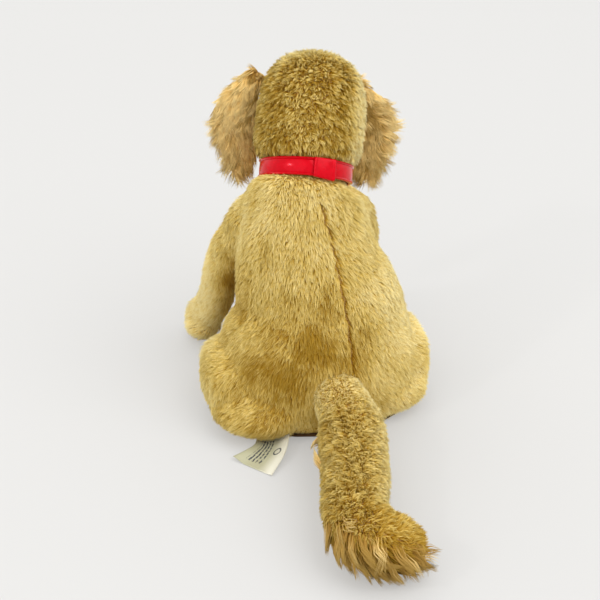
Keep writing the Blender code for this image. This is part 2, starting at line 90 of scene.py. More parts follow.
MOST_STRANDS = 18000  # in one piece of fur
PALETTE_COLUMNS = 64  # shades that a strand may have

# Least heights over the floor
STRAND_GAP = 0.0004
SKIN_GAP = 0.0006
LIMB_GAP = 0.0025

SEAM_REACH = 0.004  # either side of the back's seam
SEAM_DEPTH = 0.0025
HAUNCH_RADIUS = 0.0385
HAUNCH_START = 0.052  # out from the middle
PAW_OUT = 0.0395  # from a front leg's own middle line to its shoulder
TUCK = 0.0008  # how far the body's skin lies under its puffed shape


def joint_place(name):
    return Vector(JOINTS[name]["pos_m"])


NECK = joint_place("head_turn")
NECK_AXIS = Vector(JOINTS["head_turn"]["axis"]).normalized()
HIP = {name: joint_place(f"hind_leg_{name}_lift") for name, _ in SIDES}
SHOULDER = {name: joint_place(f"front_leg_{name}_swing") for name, _ in SIDES}
EAR_ROOT = {name: joint_place(f"ear_{name}_flap") for name, _ in SIDES}
TAIL_BEND = joint_place("tail_tip_bend")
HEAD_CENTRE = NECK + 0.0656 * NECK_AXIS
ROLL = math.atan2(NECK_AXIS.x, math.hypot(NECK_AXIS.y, NECK_AXIS.z))


def unit(vectors):
    return vectors / np.maximum(np.linalg.norm(vectors, axis=-1, keepdims=True), 1e-12)


def smoothstep(value, low, high):
    t = np.clip((value - low) / (high - low), 0, 1)
    return t * t * (3 - 2 * t)


def smoothed(stations, rows):
    """A Catmull-Rom curve through every number of the stations, read at that many rows."""
    points = np.array(stations, float)
    last = len(points) - 1
    place = np.linspace(0, last, rows)
    index = np.minimum(place.astype(int), last - 1)
    t = (place - index)[:, None]
    a = points[np.maximum(index - 1, 0)]
    b = points[index]
    c = points[index + 1]
    d = points[np.minimum(index + 2, last)]
    return b + 0.5 * t * (c - a + t * (2 * a - 5 * b + 4 * c - d + t * (3 * (b - c) + d - a)))


def mm(*rows):
    """Rows of millimetres, in metres."""
    return [tuple(number / 1000 for number in row) for row in rows]


def sided(stations, side, middle=0):
    """Stations laid out to the left, put on either side of a middle."""
    return [(middle + side * x, *rest) for x, *rest in stations]


def loft(stations, rows, sides, across=(1, 0, 0), facing=None):
    """Grid of points round stations of x, y, z, half width and half depth."""
    path = smoothed(stations, rows)
    centres = path[:, :3]
    along = unit(np.gradient(centres, axis=0))
    if facing is not None:
        along = np.tile(unit(np.array(facing, float)), (rows, 1))
    u = np.array(across, float)
    u = unit(u - along * (along @ u)[:, None])
    v = np.cross(along, u)
    angle = np.linspace(0, 2 * math.pi, sides, endpoint=False)
    wide = path[:, 3, None, None] * np.cos(angle)[None, :, None] * u[:, None]
    deep = path[:, 4, None, None] * np.sin(angle)[None, :, None] * v[:, None]
    return centres[:, None] + wide + deep


def ellipsoid(centre, half):
    """Grid of points round an egg shape whose long way is up."""
    stations = []
    for tilt in np.linspace(0.06, math.pi - 0.06, 22):
        round_about = math.sin(tilt)
        height = centre[2] - half[2] * math.cos(tilt)
        stations.append((*centre[:2], height, half[0] * round_about, half[1] * round_about))
    return loft(stations, 30, 32, facing=(0, 0, 1))


def grid_to_bmesh(bm, grid, capped=True):
    """Adds a tube through the grid's rows."""
    rows = [[bm.verts.new(point) for point in row] for row in grid]
    for first, second in zip(rows, rows[1:]):
        for i in range(len(first)):
            j = (i + 1) % len(first)
            bm.faces.new((first[i], first[j], second[j], second[i]))
    if capped:
        bm.faces.new(rows[0])
        bm.faces.new(rows[-1])


def off_floor(grids):
    return [np.maximum(grid, np.array([-1, -1, LIMB_GAP])) for grid in grids]


def mesh_of(bm, name, turn_out=True):
    """The mesh of a bmesh, which is freed. Its faces may be turned outwards first."""
    if turn_out:
        bmesh.ops.recalc_face_normals(bm, faces=bm.faces)
    mesh = bpy.data.meshes.new(name)
    bm.to_mesh(mesh)
    bm.free()
    mesh.shade_smooth()
    return mesh


def new_object(name, mesh):
    obj = bpy.data.objects.new(name, mesh)
    bpy.context.scene.collection.objects.link(obj)
    return obj


def after_modifiers(obj):
    return bpy.data.meshes.new_from_object(obj.evaluated_get(bpy.context.evaluated_depsgraph_get()))


def voxel_remesh(obj, size):
    remesh = obj.modifiers.new("Remesh", "REMESH")
    remesh.mode = "VOXEL"
    remesh.voxel_size = size


def fit(obj, material, body, slot, *nodes):
    """Gives a piece its material, the body that it rides on and the CAD nodes that it stands for. The finish, slot,
    is not used.
    """
    obj.data.materials.append(material)
    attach(obj, body)
    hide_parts(*nodes)


def read(items, attribute, dtype=np.float32):
    """Three numbers for each of a mesh's items."""
    values = np.empty(len(items) * 3, dtype)
    items.foreach_get(attribute, values)
    return values.reshape(-1, 3)


def share(normals):
    """The share of strands kept: all on the side the camera sees, fewer and wider ones elsewhere."""
    return 0.45 + 0.55 * smoothstep(normals @ TO_CAMERA, -0.4, 0.05)


class Skin:
    """Points, smooth normals and triangles of a surface that fur grows on."""

    def __init__(self, mesh):
        self.points = read(mesh.vertices, "co").astype(float)
        self.normals = read(mesh.vertex_normals, "vector").astype(float)
        mesh.calc_loop_triangles()
        self.triangles = read(mesh.loop_triangles, "vertices", np.int32)

    def centres(self):
        return self.points[self.triangles].mean(1)

    def scatter(self, rng, density, wanted=None):
        """Random roots and their normals, so many for each square metre, on the triangles wanted."""
        triangles = self.triangles if wanted is None else self.triangles[wanted]
        corners = self.points[triangles]
        area = np.linalg.norm(np.cross(corners[:, 1] - corners[:, 0], corners[:, 2] - corners[:, 0]), axis=1) / 2
        count = int(round(area.sum() * density))
        pick = np.searchsorted(np.cumsum(area), rng.random(count) * area.sum())
        pick = np.minimum(pick, len(triangles) - 1)
        a, b = rng.random((2, count))
        flip = a + b > 1
        a[flip], b[flip] = 1 - a[flip], 1 - b[flip]
        weight = np.stack([1 - a - b, a, b], 1)[:, :, None]
        points = (self.points[triangles[pick]] * weight).sum(1)
        normals = unit((self.normals[triangles[pick]] * weight).sum(1))
        kept = rng.random(count) < share(normals)
        return points[kept], normals[kept]


def fused(name, grids, voxel=0.0025, smooth=8):
    """One smooth closed mesh round all the tubes."""
    bm = bmesh.new()
    for grid in grids:
        grid_to_bmesh(bm, grid)
    obj = new_object(name + "_raw", mesh_of(bm, name + "_raw"))
    voxel_remesh(obj, voxel)
    relax = obj.modifiers.new("Smooth", "SMOOTH")
    relax.factor = 0.5
    relax.iterations = smooth
    made = after_modifiers(obj)
    bpy.data.objects.remove(obj)
    return made


def tree_of(points):
    tree = KDTree(len(points))
    for index, point in enumerate(points):
        tree.insert(point, index)
    tree.balance()
    return tree


def nearest(points, others):
    """Which of the others is nearest to each point, and how far it is."""
    tree = tree_of(others)
    index, away = zip(*(tree.find(point)[1:] for point in points))
    return np.array(index, np.int32), np.array(away)


PUFF_FRAMES = 15
PUFF_SETTINGS = dict(
    quality=5, mass=0.15, tension_stiffness=12, compression_stiffness=12, shear_stiffness=6, bending_stiffness=0.2,
    use_pressure=True, uniform_pressure_force=4, vertex_group_mass="pin",
)


def cloth_puff(mesh, held, most=0.0022):
    """How far stuffing pushes a sewn skin out, from a short Cloth run in which the points held stay put.

    Gives a function from points near the skin to their displacement."""
    obj = new_object("puff", mesh.copy())
    voxel_remesh(obj, 0.005)
    coarse = after_modifiers(obj)
    obj.modifiers.clear()
    obj.data = coarse
    points = np.array([vert.co for vert in coarse.vertices])
    pin = obj.vertex_groups.new(name="pin")
    for index, weight in enumerate(held(points)):
        if weight > 0.01:
            pin.add([index], float(weight), "REPLACE")
    settings = obj.modifiers.new("Cloth", "CLOTH").settings
    for key, value in PUFF_SETTINGS.items():
        setattr(settings, key, value)
    settings.effector_weights.gravity = 0
    for frame_number in range(1, PUFF_FRAMES + 1):
        bpy.context.scene.frame_set(frame_number)
    after = obj.evaluated_get(bpy.context.evaluated_depsgraph_get())
    moved = np.array([vert.co for vert in after.data.vertices]) - points
    bpy.context.scene.frame_set(1)
    bpy.data.objects.remove(obj)
    size = np.linalg.norm(moved, axis=1, keepdims=True)
    moved *= np.minimum(size, most) / np.maximum(size, 1e-9)
    tree = tree_of(points)

    def push(places):
        result = np.zeros_like(places)
        for index, place in enumerate(places):
            near = tree.find_n(place, 4)
            weights = np.array([1 / (n[2] + 0.001) for n in near])
            result[index] = (moved[[n[1] for n in near]] * weights[:, None]).sum(0) / weights.sum()
        return result

    return push


def part_of(skin, name, wanted=slice(None)):
    """A mesh of the skin's wanted triangles, with the skin's own smooth normals."""
    triangles = skin.triangles[wanted]
    used, index = np.unique(triangles, return_inverse=True)
    return triangle_mesh(name, skin.points[used], index.reshape(-1, 3), skin.normals[used])


def triangle_mesh(name, points, triangles, normals):
    mesh = bpy.data.meshes.new(name)
    mesh.vertices.add(len(points))
    mesh.vertices.foreach_set("co", points.astype(np.float32).ravel())
    mesh.loops.add(len(triangles) * 3)
    mesh.loops.foreach_set("vertex_index", triangles.astype(np.int32).ravel())
    mesh.polygons.add(len(triangles))
    mesh.polygons.foreach_set("loop_start", np.arange(0, len(triangles) * 3, 3, dtype=np.int32))
    mesh.update(calc_edges=True)
    mesh.shade_smooth()
    attribute = mesh.attributes.new("custom_normal", "FLOAT_VECTOR", "POINT")
    attribute.data.foreach_set("vector", normals.astype(np.float32).ravel())
    return mesh


def waves(points, seed, wavelength, count=7):
    """Smooth noise from about -1 to 1, as a sum of waves in random directions."""
    rng = np.random.default_rng(seed)
    total = np.zeros(len(points))
    for _ in range(count):
        direction = unit(rng.normal(size=3))
        length = wavelength * rng.uniform(0.7, 1.5)
        total += np.sin(points @ direction * (2 * math.pi / length) + rng.uniform(0, 2 * math.pi))
    return total / math.sqrt(count / 2) / 1.6


def tangential(directions, normals):
    return unit(directions - normals * (directions * normals).sum(1, keepdims=True))


def turned(directions, normals, angle):
    """Directions in the surface turned by an angle round its normal."""
    side = np.cross(normals, directions)
    return directions * np.cos(angle)[:, None] + side * np.sin(angle)[:, None]


class Coat:
    """How one region's fur looks. Lengths are in metres; each setting missing here is given for every coat."""

    clump_turn = 0.3
    swirl = 0.3
    swirl_size = 0.03
    curl = 0.0
    tint_spread = 0.13
    round = 0.4

    def __init__(self, **settings):
        self.__dict__.update(settings)

    @staticmethod
    def length_of(points, normals):
        return np.ones(len(points))

    @staticmethod
    def tint_of(points, normals):
        return np.zeros(len(points))


COAT_KEYS = ("density", "length", "rise", "lay", "width", "clump", "pull", "stray", "tint")


def two_coats(under, top, **shared):
    """An under coat of one segment and a top coat of two. Each is given by its values for COAT_KEYS."""
    layers = enumerate((under, top), 1)
    return [Coat(segments=number, **dict(zip(COAT_KEYS, values)), **shared) for number, values in layers]


def strand_paths(coat, roots, normals, comb, length, rise, steps):
    """Points along each strand before it joins its clump: strands by steps by 3."""
    t = steps[None, :, None]
    up = normals[:, None] * (rise[:, None, None] * (t - 0.35 * t * t))
    over = comb[:, None] * (coat.lay * (0.4 * t + 0.6 * t * t))
    return roots[:, None] + length[:, None, None] * (up + over)


def grow(name, coat, roots, normals, comb, rng, material, settle):
    """Fur on these roots, in as many pieces as its size needs. settle(piece) says what each rides on."""
    count = len(roots)
    steps = np.linspace(0, 1, coat.segments + 1)
    normals = unit(normals)
    comb = tangential(comb, normals)
    comb = turned(comb, normals, coat.swirl * waves(roots, 11, coat.swirl_size))
    length = coat.length * coat.length_of(roots, normals)

    centres = rng.choice(count, max(1, count // coat.clump), replace=False)
    clump_of = nearest(roots, roots[centres])[0]
    clumps = len(centres)
    guide_comb = turned(comb[centres], normals[centres], rng.normal(0, coat.clump_turn, clumps))
    guide_length = length[centres] * rng.uniform(0.82, 1.12, clumps)
    guide_rise = coat.rise * rng.uniform(0.8, 1.15, clumps)
    guides = strand_paths(coat, roots[centres], normals[centres], guide_comb, guide_length, guide_rise, steps)

    length = length * rng.uniform(0.8, 1.08, count)
    stray = tangential(rng.normal(size=(count, 3)), normals)
    comb = unit(comb + coat.stray * 1.6 * stray)
    rise = coat.rise * rng.uniform(0.85, 1.1, count)
    paths = strand_paths(coat, roots, normals, comb, length, rise, steps)
    pull = (coat.pull * rng.uniform(0.6, 1.15, count)).clip(0, 0.95)[:, None, None] * steps[None, :, None] ** 1.1
    paths = paths * (1 - pull) + guides[clump_of] * pull
    if coat.curl:
        side = np.cross(normals, comb)[:, None]
        phase = rng.uniform(0, 2 * math.pi, clumps)[clump_of][:, None, None]
        turns = rng.uniform(0.7, 1.3, clumps)[clump_of][:, None, None]
        t = steps[None, :, None]
        paths = paths + side * coat.curl * t * np.sin(phase + 2 * math.pi * turns * t)
    paths[:, :, 2] = np.maximum(paths[:, :, 2], STRAND_GAP)

    # The tint holds each strand's tone together with the painted light and shade that tint_of gives.
    tint = coat.tint + coat.tint_of(roots, normals)
    tint = tint + rng.normal(0, coat.tint_spread, clumps)[clump_of] + rng.normal(0, 0.1, count)
    column = (tint.clip(0.01, 0.99) * PALETTE_COLUMNS).astype(int)

    order = np.argsort(centres_order(roots[centres], clump_of), kind="stable")
    pieces = max(1, math.ceil(count / MOST_STRANDS))
    for number, chosen in enumerate(np.array_split(order, pieces), 1):
        label = name if pieces == 1 else f"{name}_{number}"
        mesh = strand_mesh(label, coat, paths[chosen], normals[chosen], column[chosen], rng)
        mesh.materials.append(material)
        settle(new_object(label, mesh))


def grow_layers(skin, body, coats, comb_of, rng, wanted=None, bare=None):
    """The under coat and the top coat of a body, on the triangles wanted and off the roots that bare() picks."""
    for layer, coat in zip(("under", "top"), coats):
        roots, normals = skin.scatter(rng, coat.density, wanted)
        if bare is not None:
            kept = ~bare(roots)
            roots, normals = roots[kept], normals[kept]
        grow(f"{body}_{layer}_fur", coat, roots, normals, comb_of(roots, normals), rng, FUR, SETTLES[body])


def centres_order(centres, clump_of):
    """A rank for each strand that keeps a clump together and near clumps in one piece."""
    rank = np.empty(len(centres))
    rank[np.argsort(centres[:, 2] + 0.3 * centres[:, 1])] = np.arange(len(centres))
    return rank[clump_of]


def strand_mesh(name, coat, paths, normals, column, rng):
    """Closed three-sided tapered strands with a palette UV: the column is the tint, V runs from root to tip."""
    count, rings = paths.shape[:2]
    along = unit(np.gradient(paths, axis=1))
    spin = rng.uniform(0, 2 * math.pi, count)[:, None, None]
    side = unit(np.cross(along, normals[:, None]) + 1e-6)
    front = np.cross(along, side)
    t = np.linspace(0, 1, rings)
    width = coat.width * rng.uniform(0.75, 1.15, count) / np.sqrt(share(normals))
    radius = 0.5 * width[:, None, None] * ((1 - t) ** 0.65 * 0.92 + 0.08)[None, :, None]
    angles = [spin + 2 * math.pi * k / 3 for k in range(3)]
    outward = [side * np.cos(angle) + front * np.sin(angle) for angle in angles]
    body = np.stack([(paths + out * radius)[:, :-1] for out in outward], 2).reshape(count, -1, 3)
    body_out = np.stack([out[:, :-1] for out in outward], 2).reshape(count, -1, 3)
    points = np.concatenate([body, paths[:, -1:]], 1)
    shade = np.concatenate([body_out, along[:, -1:]], 1)
    shade = unit(shade * coat.round + normals[:, None])
    per = points.shape[1]
    faces = [(0, 2, 1)]
    for ring in range(rings - 2):
        for k in range(3):
            a, b = 3 * ring + k, 3 * ring + (k + 1) % 3
            faces += [(a, b, b + 3), (a, b + 3, a + 3)]
    top = 3 * (rings - 2)
    faces += [(top, top + 1, per - 1), (top + 1, top + 2, per - 1), (top + 2, top, per - 1)]
    triangles = (np.arange(count)[:, None, None] * per + np.array(faces)[None]).reshape(-1, 3)
    mesh = triangle_mesh(name, points.reshape(-1, 3), triangles, shade.reshape(-1, 3))
    u = np.concatenate([np.tile([0.2, 0.5, 0.8], rings - 1), [0.5]])
    v = np.concatenate([np.repeat(t[:-1], 3), [1.0]])
    uv = np.empty((count, per, 2), np.float32)
    uv[:, :, 0] = (column[:, None] + u[None]) / PALETTE_COLUMNS
    uv[:, :, 1] = 0.02 + 0.96 * v[None]
    layer = mesh.uv_layers.new(name="OFBake")
    layer.data.foreach_set("uv", uv.reshape(-1, 2)[triangles.ravel()].ravel())
    return mesh


# Materials


class Looks:
    """A material that is put together from nodes."""

    def __init__(self, name):
        self.material = bpy.data.materials.new(name)
        self.material.use_nodes = True
        self.tree = self.material.node_tree

    def feed(self, node, inputs):
        """Links an input to a socket, or sets it to a value."""
        for key, value in inputs.items():
            if isinstance(value, bpy.types.NodeSocket):
                self.tree.links.new(value, node.inputs[key])
            else:
                node.inputs[key].default_value = value

    def add(self, kind, inputs, **settings):
        node = self.tree.nodes.new("ShaderNode" + kind)
        for key, value in settings.items():
            setattr(node, key, value)
        self.feed(node, inputs)
        return node

    def palette(self):
        """The palette UV, and its two numbers."""
        uv = self.add("UVMap", {}, uv_map="OFBake").outputs[0]
        split = self.add("SeparateXYZ", {0: uv})
        return uv, split.outputs["X"], split.outputs["Y"]

    def ramp(self, value, *stops):
        """A colour from (place, colour) pairs."""
        node = self.add("ValToRGB", {0: value})
        elements = node.color_ramp.elements
        while len(elements) < len(stops):
            elements.new(0.5)
        for element, (place, colour) in zip(elements, stops):
            element.position = place
            element.color = (*colour, 1)
        return node.outputs[0]

    def mix(self, factor, first, second, blend="MIX"):
        return self.add("Mix", {0: factor, 6: first, 7: second}, data_type="RGBA", blend_type=blend).outputs[2]

    def calc(self, operation, first, second=0):
        return self.add("Math", {0: first, 1: second}, operation=operation).outputs[0]

    def ranged(self, value, least, most):
        return self.add("MapRange", {"Value": value, "To Min": least, "To Max": most}).outputs[0]

    def bump(self, value, strength, distance):
        return self.add("Bump", {"Height": value, "Strength": strength, "Distance": distance}).outputs[0]

    def finish(self, inputs):
        self.feed(self.tree.nodes["Principled BSDF"], inputs)
        return self.material


def srgb(*numbers):
    """Linear colour from the 0 to 255 numbers of a colour picker."""
    levels = [number / 255 for number in numbers]
    return tuple(level / 12.92 if level <= 0.04045 else ((level + 0.055) / 1.055) ** 2.4 for level in levels)


def fur_material(name, root, middle, tip, shadow, light):
    """Fur whose colour runs from root to tip and varies from strand to strand by a palette. The palette's shadow and
    light ends also carry painted shade and painted light.
    """
    look = Looks(name)
    _, tint, along = look.palette()
    colour = look.ramp(along, (0.0, root), (0.35, middle), (1.0, tip))
    shade = look.ramp(tint, (0.0, shadow), (0.5, (1, 1, 1)), (1.0, light))
    return look.finish(
        {
            "Base Color": look.mix(1.0, colour, shade, "MULTIPLY"),
            "Roughness": look.ranged(along, 0.95, 0.62),
            "Specular IOR Level": 0.2,
            "Specular Tint": (1.0, 0.84, 0.5, 1),
            "Sheen Weight": 0.07,
            "Sheen Roughness": 0.45,
            "Sheen Tint": (1.0, 0.88, 0.55, 1),
        }
    )


def noise_material(name, stops, scale, detail=2, on_object=False, bump=None, rough=None, plain=None):
    """A material whose colour, height and roughness follow one noise. plain holds the shader's uniform values."""
    look = Looks(name)
    noise = look.add("TexNoise", {"Scale": scale, "Detail": detail})
    if on_object:
        look.feed(noise, {"Vector": look.add("TexCoord", {}).outputs["Object"]})
    value = noise.outputs["Fac"]
    inputs = {"Base Color": look.ramp(value, *stops), **(plain or {})}
    if bump:
        inputs["Normal"] = look.bump(value, *bump)
    if rough:
        inputs["Roughness"] = look.ranged(value, *rough)
    return look.finish(inputs)


def cloth_material(name, colour, darker, scale, bump, roughness):
    stops = [(0.3, darker), (0.7, colour)]
    rough = (roughness, min(roughness + 0.12, 1))
    return noise_material(name, stops, scale, detail=6, on_object=True, bump=(bump, 0.0005), rough=rough)


FUR = fur_material(
    "fur", srgb(166, 116, 24), srgb(216, 176, 74), srgb(243, 221, 140), (0.54, 0.42, 0.14), (1.22, 1.32, 1.9)
)
EAR_FUR = fur_material(
    "ear_fur", srgb(128, 88, 32), srgb(208, 166, 88), srgb(243, 216, 148), (0.52, 0.43, 0.24), (1.3, 1.36, 1.5)
)
BACKING = cloth_material("fur_backing", srgb(200, 160, 84), srgb(164, 122, 52), 900, 0.6, 0.85)
SUEDE = cloth_material("suede", srgb(176, 138, 90), srgb(150, 114, 70), 1400, 0.5, 0.8)
# Dark brown seat cloth: painted shadow under the edge of the rump.
SEAT_PAINTED_SHADOW = cloth_material("seat_cloth_painted_shadow", srgb(98, 72, 42), srgb(74, 52, 30), 1200, 0.5, 0.8)
RED_VINYL = noise_material(
    "red_vinyl", [(0.25, srgb(178, 0, 14)), (0.75, srgb(196, 0, 20))], 260, on_object=True,
    bump=(0.08, 0.0003), rough=(0.13, 0.18), plain={"Specular IOR Level": 0.5, "Specular Tint": (1.0, 0.16, 0.2, 1)},
)
BLACK_PLASTIC = noise_material(
    "black_plastic", [(0.3, (0.006, 0.005, 0.004)), (0.7, (0.02, 0.014, 0.01))], 300,
    rough=(0.06, 0.12), plain={"Coat Weight": 0.6},
)
NOSE_PLASTIC = noise_material(
    "nose_plastic", [(0.3, (0.01, 0.008, 0.007)), (0.7, (0.03, 0.022, 0.018))], 900,
    bump=(0.3, 0.0003), plain={"Roughness": 0.35},
)


# Body skin: torso, neck, haunches and shoulders as one stuffed shape


def body_grids():
    """Torso and neck, haunches, and the rump's cheeks. The left haunch stands out a little further."""
    torso = mm(
        (0, 17, 2.5, 62, 46), (0, 17.5, 8, 71.5, 52.5), (0, 18, 24, 77, 56), (1, 16, 50, 70.5, 54.5),
        (-0.8, 9.5, 78, 60.8, 49), (3.5, 3, 106, 51.8, 43.5), (5, -4, 131, 45.5, 39),
    )
    for height, wide, deep in mm((2, 39, 34.5), (11, 32, 30), (19, 27.2, 27.2)):
        torso.append((*(np.array(NECK) + height * np.array(NECK_AXIS)), wide, deep))
    grids = [loft(torso, 60, 64)]
    for name, side in SIDES:
        hip = np.array(HIP[name])
        haunch = [
            (side * 0.03, hip[1], 0.035, 0.029, 0.028),
            (0.001 + side * 0.056, hip[1], 0.0325, 0.034, 0.027),
            (0.001 + side * 0.068, hip[1], 0.0305, 0.033, 0.0255),
            (0.001 + side * 0.077, hip[1], 0.029, 0.027, 0.0225),
            (0.001 + side * 0.0815, hip[1], 0.028, 0.013, 0.012),
        ]
        if side > 0:
            haunch = [(s[0] + 0.0024, *s[1:]) for s in haunch]
        grids.append(loft(haunch, 24, 40, across=(0, 1, 0), facing=(side, 0, 0)))
    grids.append(ellipsoid((0.0485, 0.0375, 0.0175), (0.0365, 0.0355, 0.0165)))
    grids.append(ellipsoid((-0.043, 0.036, 0.0175), (0.033, 0.031, 0.0165)))
    return grids


def leg_middle(name, side):
    return SHOULDER[name].x - side * PAW_OUT


def leg_grids(name, side):
    middle = leg_middle(name, side)
    leg = mm(
        (33, -19, 140, 9, 11), (39.5, -23, 131, 12, 15), (46, -30, 119, 11.5, 15), (52, -41, 101.5, 10.8, 15),
        (54, -57, 74.5, 11, 14.5), (54.5, -73.5, 46.5, 11, 13.5), (58.5, -87, 26, 11.5, 12.5),
        (62.5, -97.5, 17, 11, 10.5), (62.5, -103, 14.5, 7, 7),
    )
    grids = [loft(sided(leg, side, middle), 50, 32)]
    grids.append(ellipsoid((middle + side * 0.0625, -0.091, 0.0125), (0.0125, 0.0145, 0.01)))
    return off_floor(grids)


def shoulder_grid(name, side):
    """Fills the slope from the neck out to the top of the leg."""
    middle = leg_middle(name, side)
    lift = 0.0035 if side > 0 else -0.0015
    bump = mm((10, -12, 148, 17, 17), (26, -17, 142, 17.5, 17), (38, -22, 133, 15, 15), (45, -27, 124, 10, 11.5))
    bump = [(x, y, z + lift, *half) for x, y, z, *half in sided(bump, side, middle)]
    return loft(bump, 16, 28, across=(0, 1, 0))


def seam_x(z):
    """Where the centre seam of the back runs at this height."""
    heights = np.array([0.03, 0.06, 0.09, 0.117, 0.146, 0.18])
    places = np.array([-0.009, -0.0095, -0.0095, -0.0065, -0.003, 0.003])
    return np.interp(z, heights, places) + 0.0006 * np.sin(z * 420) + 0.0004 * np.sin(z * 910 + 1)


def seam_nearness(points, reach=SEAM_REACH):
    """1 on the seam of the back, falling to 0 at its reach."""
    away = np.abs(points[:, 0] - seam_x(points[:, 2]))
    behind = np.clip(points[:, 1] / 0.02, 0, 1)
    ends = smoothstep(points[:, 2], 0.045, 0.065) * smoothstep(-points[:, 2], -0.185, -0.16)
    return np.clip(1 - away / reach, 0, 1) * behind * ends


def from_hip(points, name):
    return np.hypot(points[:, 1] - HIP[name].y, points[:, 2] - HIP[name].z)


def in_haunch(points, name, side):
    return (side * points[:, 0] > HAUNCH_START) & (from_hip(points, name) < HAUNCH_RADIUS)


def up_neck(points):
    return (points - np.array(NECK)) @ np.array(NECK_AXIS)


def body_regions(points):
    """A mask for each body that the points of the body skin ride on."""
    masks = {f"hind_leg_{name}": in_haunch(points, name, side) for name, side in SIDES}
    masks["neck"] = up_neck(points) > 0.001
    masks["torso"] = ~(masks["neck"] | masks["hind_leg_left"] | masks["hind_leg_right"])
    return masks


def rides(body):
    return lambda obj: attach(obj, body)


def blends(second, start):
    return lambda obj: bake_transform(obj)


SETTLES = {
    "torso": rides("torso"),
    "head": rides("head"),
    "neck": blends("neck", tuple(NECK)),
}
REPLACED = {
    "torso": ("back_panel_left", "back_panel_right", "belly_panel", "torso_stuffing", "bean_pouch"),
    "neck": ("neck_skin", "neck_stuffing"),
}
for leg_name, swing in SHOULDER.items():
    front, hind = f"front_leg_{leg_name}", f"hind_leg_{leg_name}"
    SETTLES[hind] = rides(hind)
    SETTLES[front] = blends(front, tuple(swing))
    REPLACED[hind] = (f"haunch_{leg_name}", f"haunch_stuffing_{leg_name}")
    REPLACED[front] = tuple(f"front_leg_{part}_{leg_name}" for part in ("front", "back", "stuffing"))


def add_cloth(body, mesh, replaced):
    """The backing cloth that the fur grows from, stuffed."""
    obj = new_object(f"{body}_cloth", mesh)
    mesh.materials.append(BACKING)
    SETTLES[body](obj)
    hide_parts(*replaced)


def body_comb(points, normals):
    """Down the body, away from the back seam, outwards over the rump, and down the front legs."""
    low = np.clip((0.08 - points[:, 2]) / 0.06, 0, 1)
    from_seam = points[:, 0] - seam_x(points[:, 2])
    comb = -np.ones_like(points)
    comb[:, 0] = from_seam * (2 + 13 * low) + np.sign(from_seam) * 0.5 * seam_nearness(points)
    comb[:, 1] = 0.15 - 0.5 * smoothstep(-points[:, 1], 0.02, 0.05)
    return comb


def body_length(points, normals):
    shorter = 1 - 0.35 * seam_nearness(points, 0.003)
    collar = 1 - 0.5 * smoothstep(up_neck(points), 0.007, 0.015)
    # Trimmed beside the label, where the rump lifts off the floor
    trimmed = (points[:, 2] < 0.016) & (points[:, 1] > 0.05) & (np.abs(points[:, 0] - 0.022) < 0.011)
    return shorter * collar * (1 + 0.1 * waves(points, 3, 0.02)) * np.where(trimmed, 0.35, 1.0)


def blob(points, centre, size):
    """1 at the centre, fading out over the size along each axis."""
    return np.exp(-((((points - np.array(centre)) / np.array(size)) ** 2).sum(1)))


# Painted light and shade on the body's fur: lighter on the back of the neck, on the right of the back and the right
# side, and on the outside of the left front leg, where light falls; painted shade over the middle and lower left of
# the back and inside the left front leg.
BODY_PAINTED_LIGHT = (  # lighter or darker by how much, where, and how far it reaches
    (0.2, (0.015, 0.02, 0.155), (0.05, 0.06, 0.03)),
    (0.48, (-0.045, 0.03, 0.09), (0.022, 0.05, 0.042)),
    (0.3, (-0.075, 0.03, 0.055), (0.03, 0.05, 0.04)),
    (-0.28, (0.014, 0.06, 0.082), (0.05, 0.06, 0.042)),
    (-0.12, (0.06, 0.05, 0.03), (0.03, 0.04, 0.03)),
    (-0.26, (0.038, 0.06, 0.05), (0.04, 0.06, 0.034)),
    (0.95, (0.077, -0.06, 0.06), (0.016, 0.06, 0.065)),
    (-0.52, (0.0545, -0.032, 0.088), (0.008, 0.03, 0.036)),
)


def body_tone_and_painted_light(points, normals):
    # Painted shade darkens the fur along the back seam's groove.
    seam = -0.3 * seam_nearness(points, 0.0016) * (0.75 + 0.25 * np.sin(points[:, 2] * 260))
    # Painted light and painted shade in the body's patches; the waves after them are random tone.
    painted_light = sum(strength * blob(points, centre, size) for strength, centre, size in BODY_PAINTED_LIGHT)
    return seam + painted_light + 0.12 * waves(points, 4, 0.035) + 0.1 * waves(points, 5, 0.012)


def held_by_seams(points):
    """1 on the back seam, at the seat's edge, round the neck and round each haunch: places a seam holds in."""
    held = smoothstep(seam_nearness(points, 0.006), 0.1, 0.4)
    held = np.maximum(held, 1 - smoothstep(points[:, 2], 0.005, 0.009))
    held = np.maximum(held, smoothstep(up_neck(points), 0.004, 0.01))
    for name, side in SIDES:
        ring = (np.abs(from_hip(points, name) - HAUNCH_RADIUS) < 0.0035) & (side * points[:, 0] > HAUNCH_START)
        held = np.maximum(held, ring)
    return held


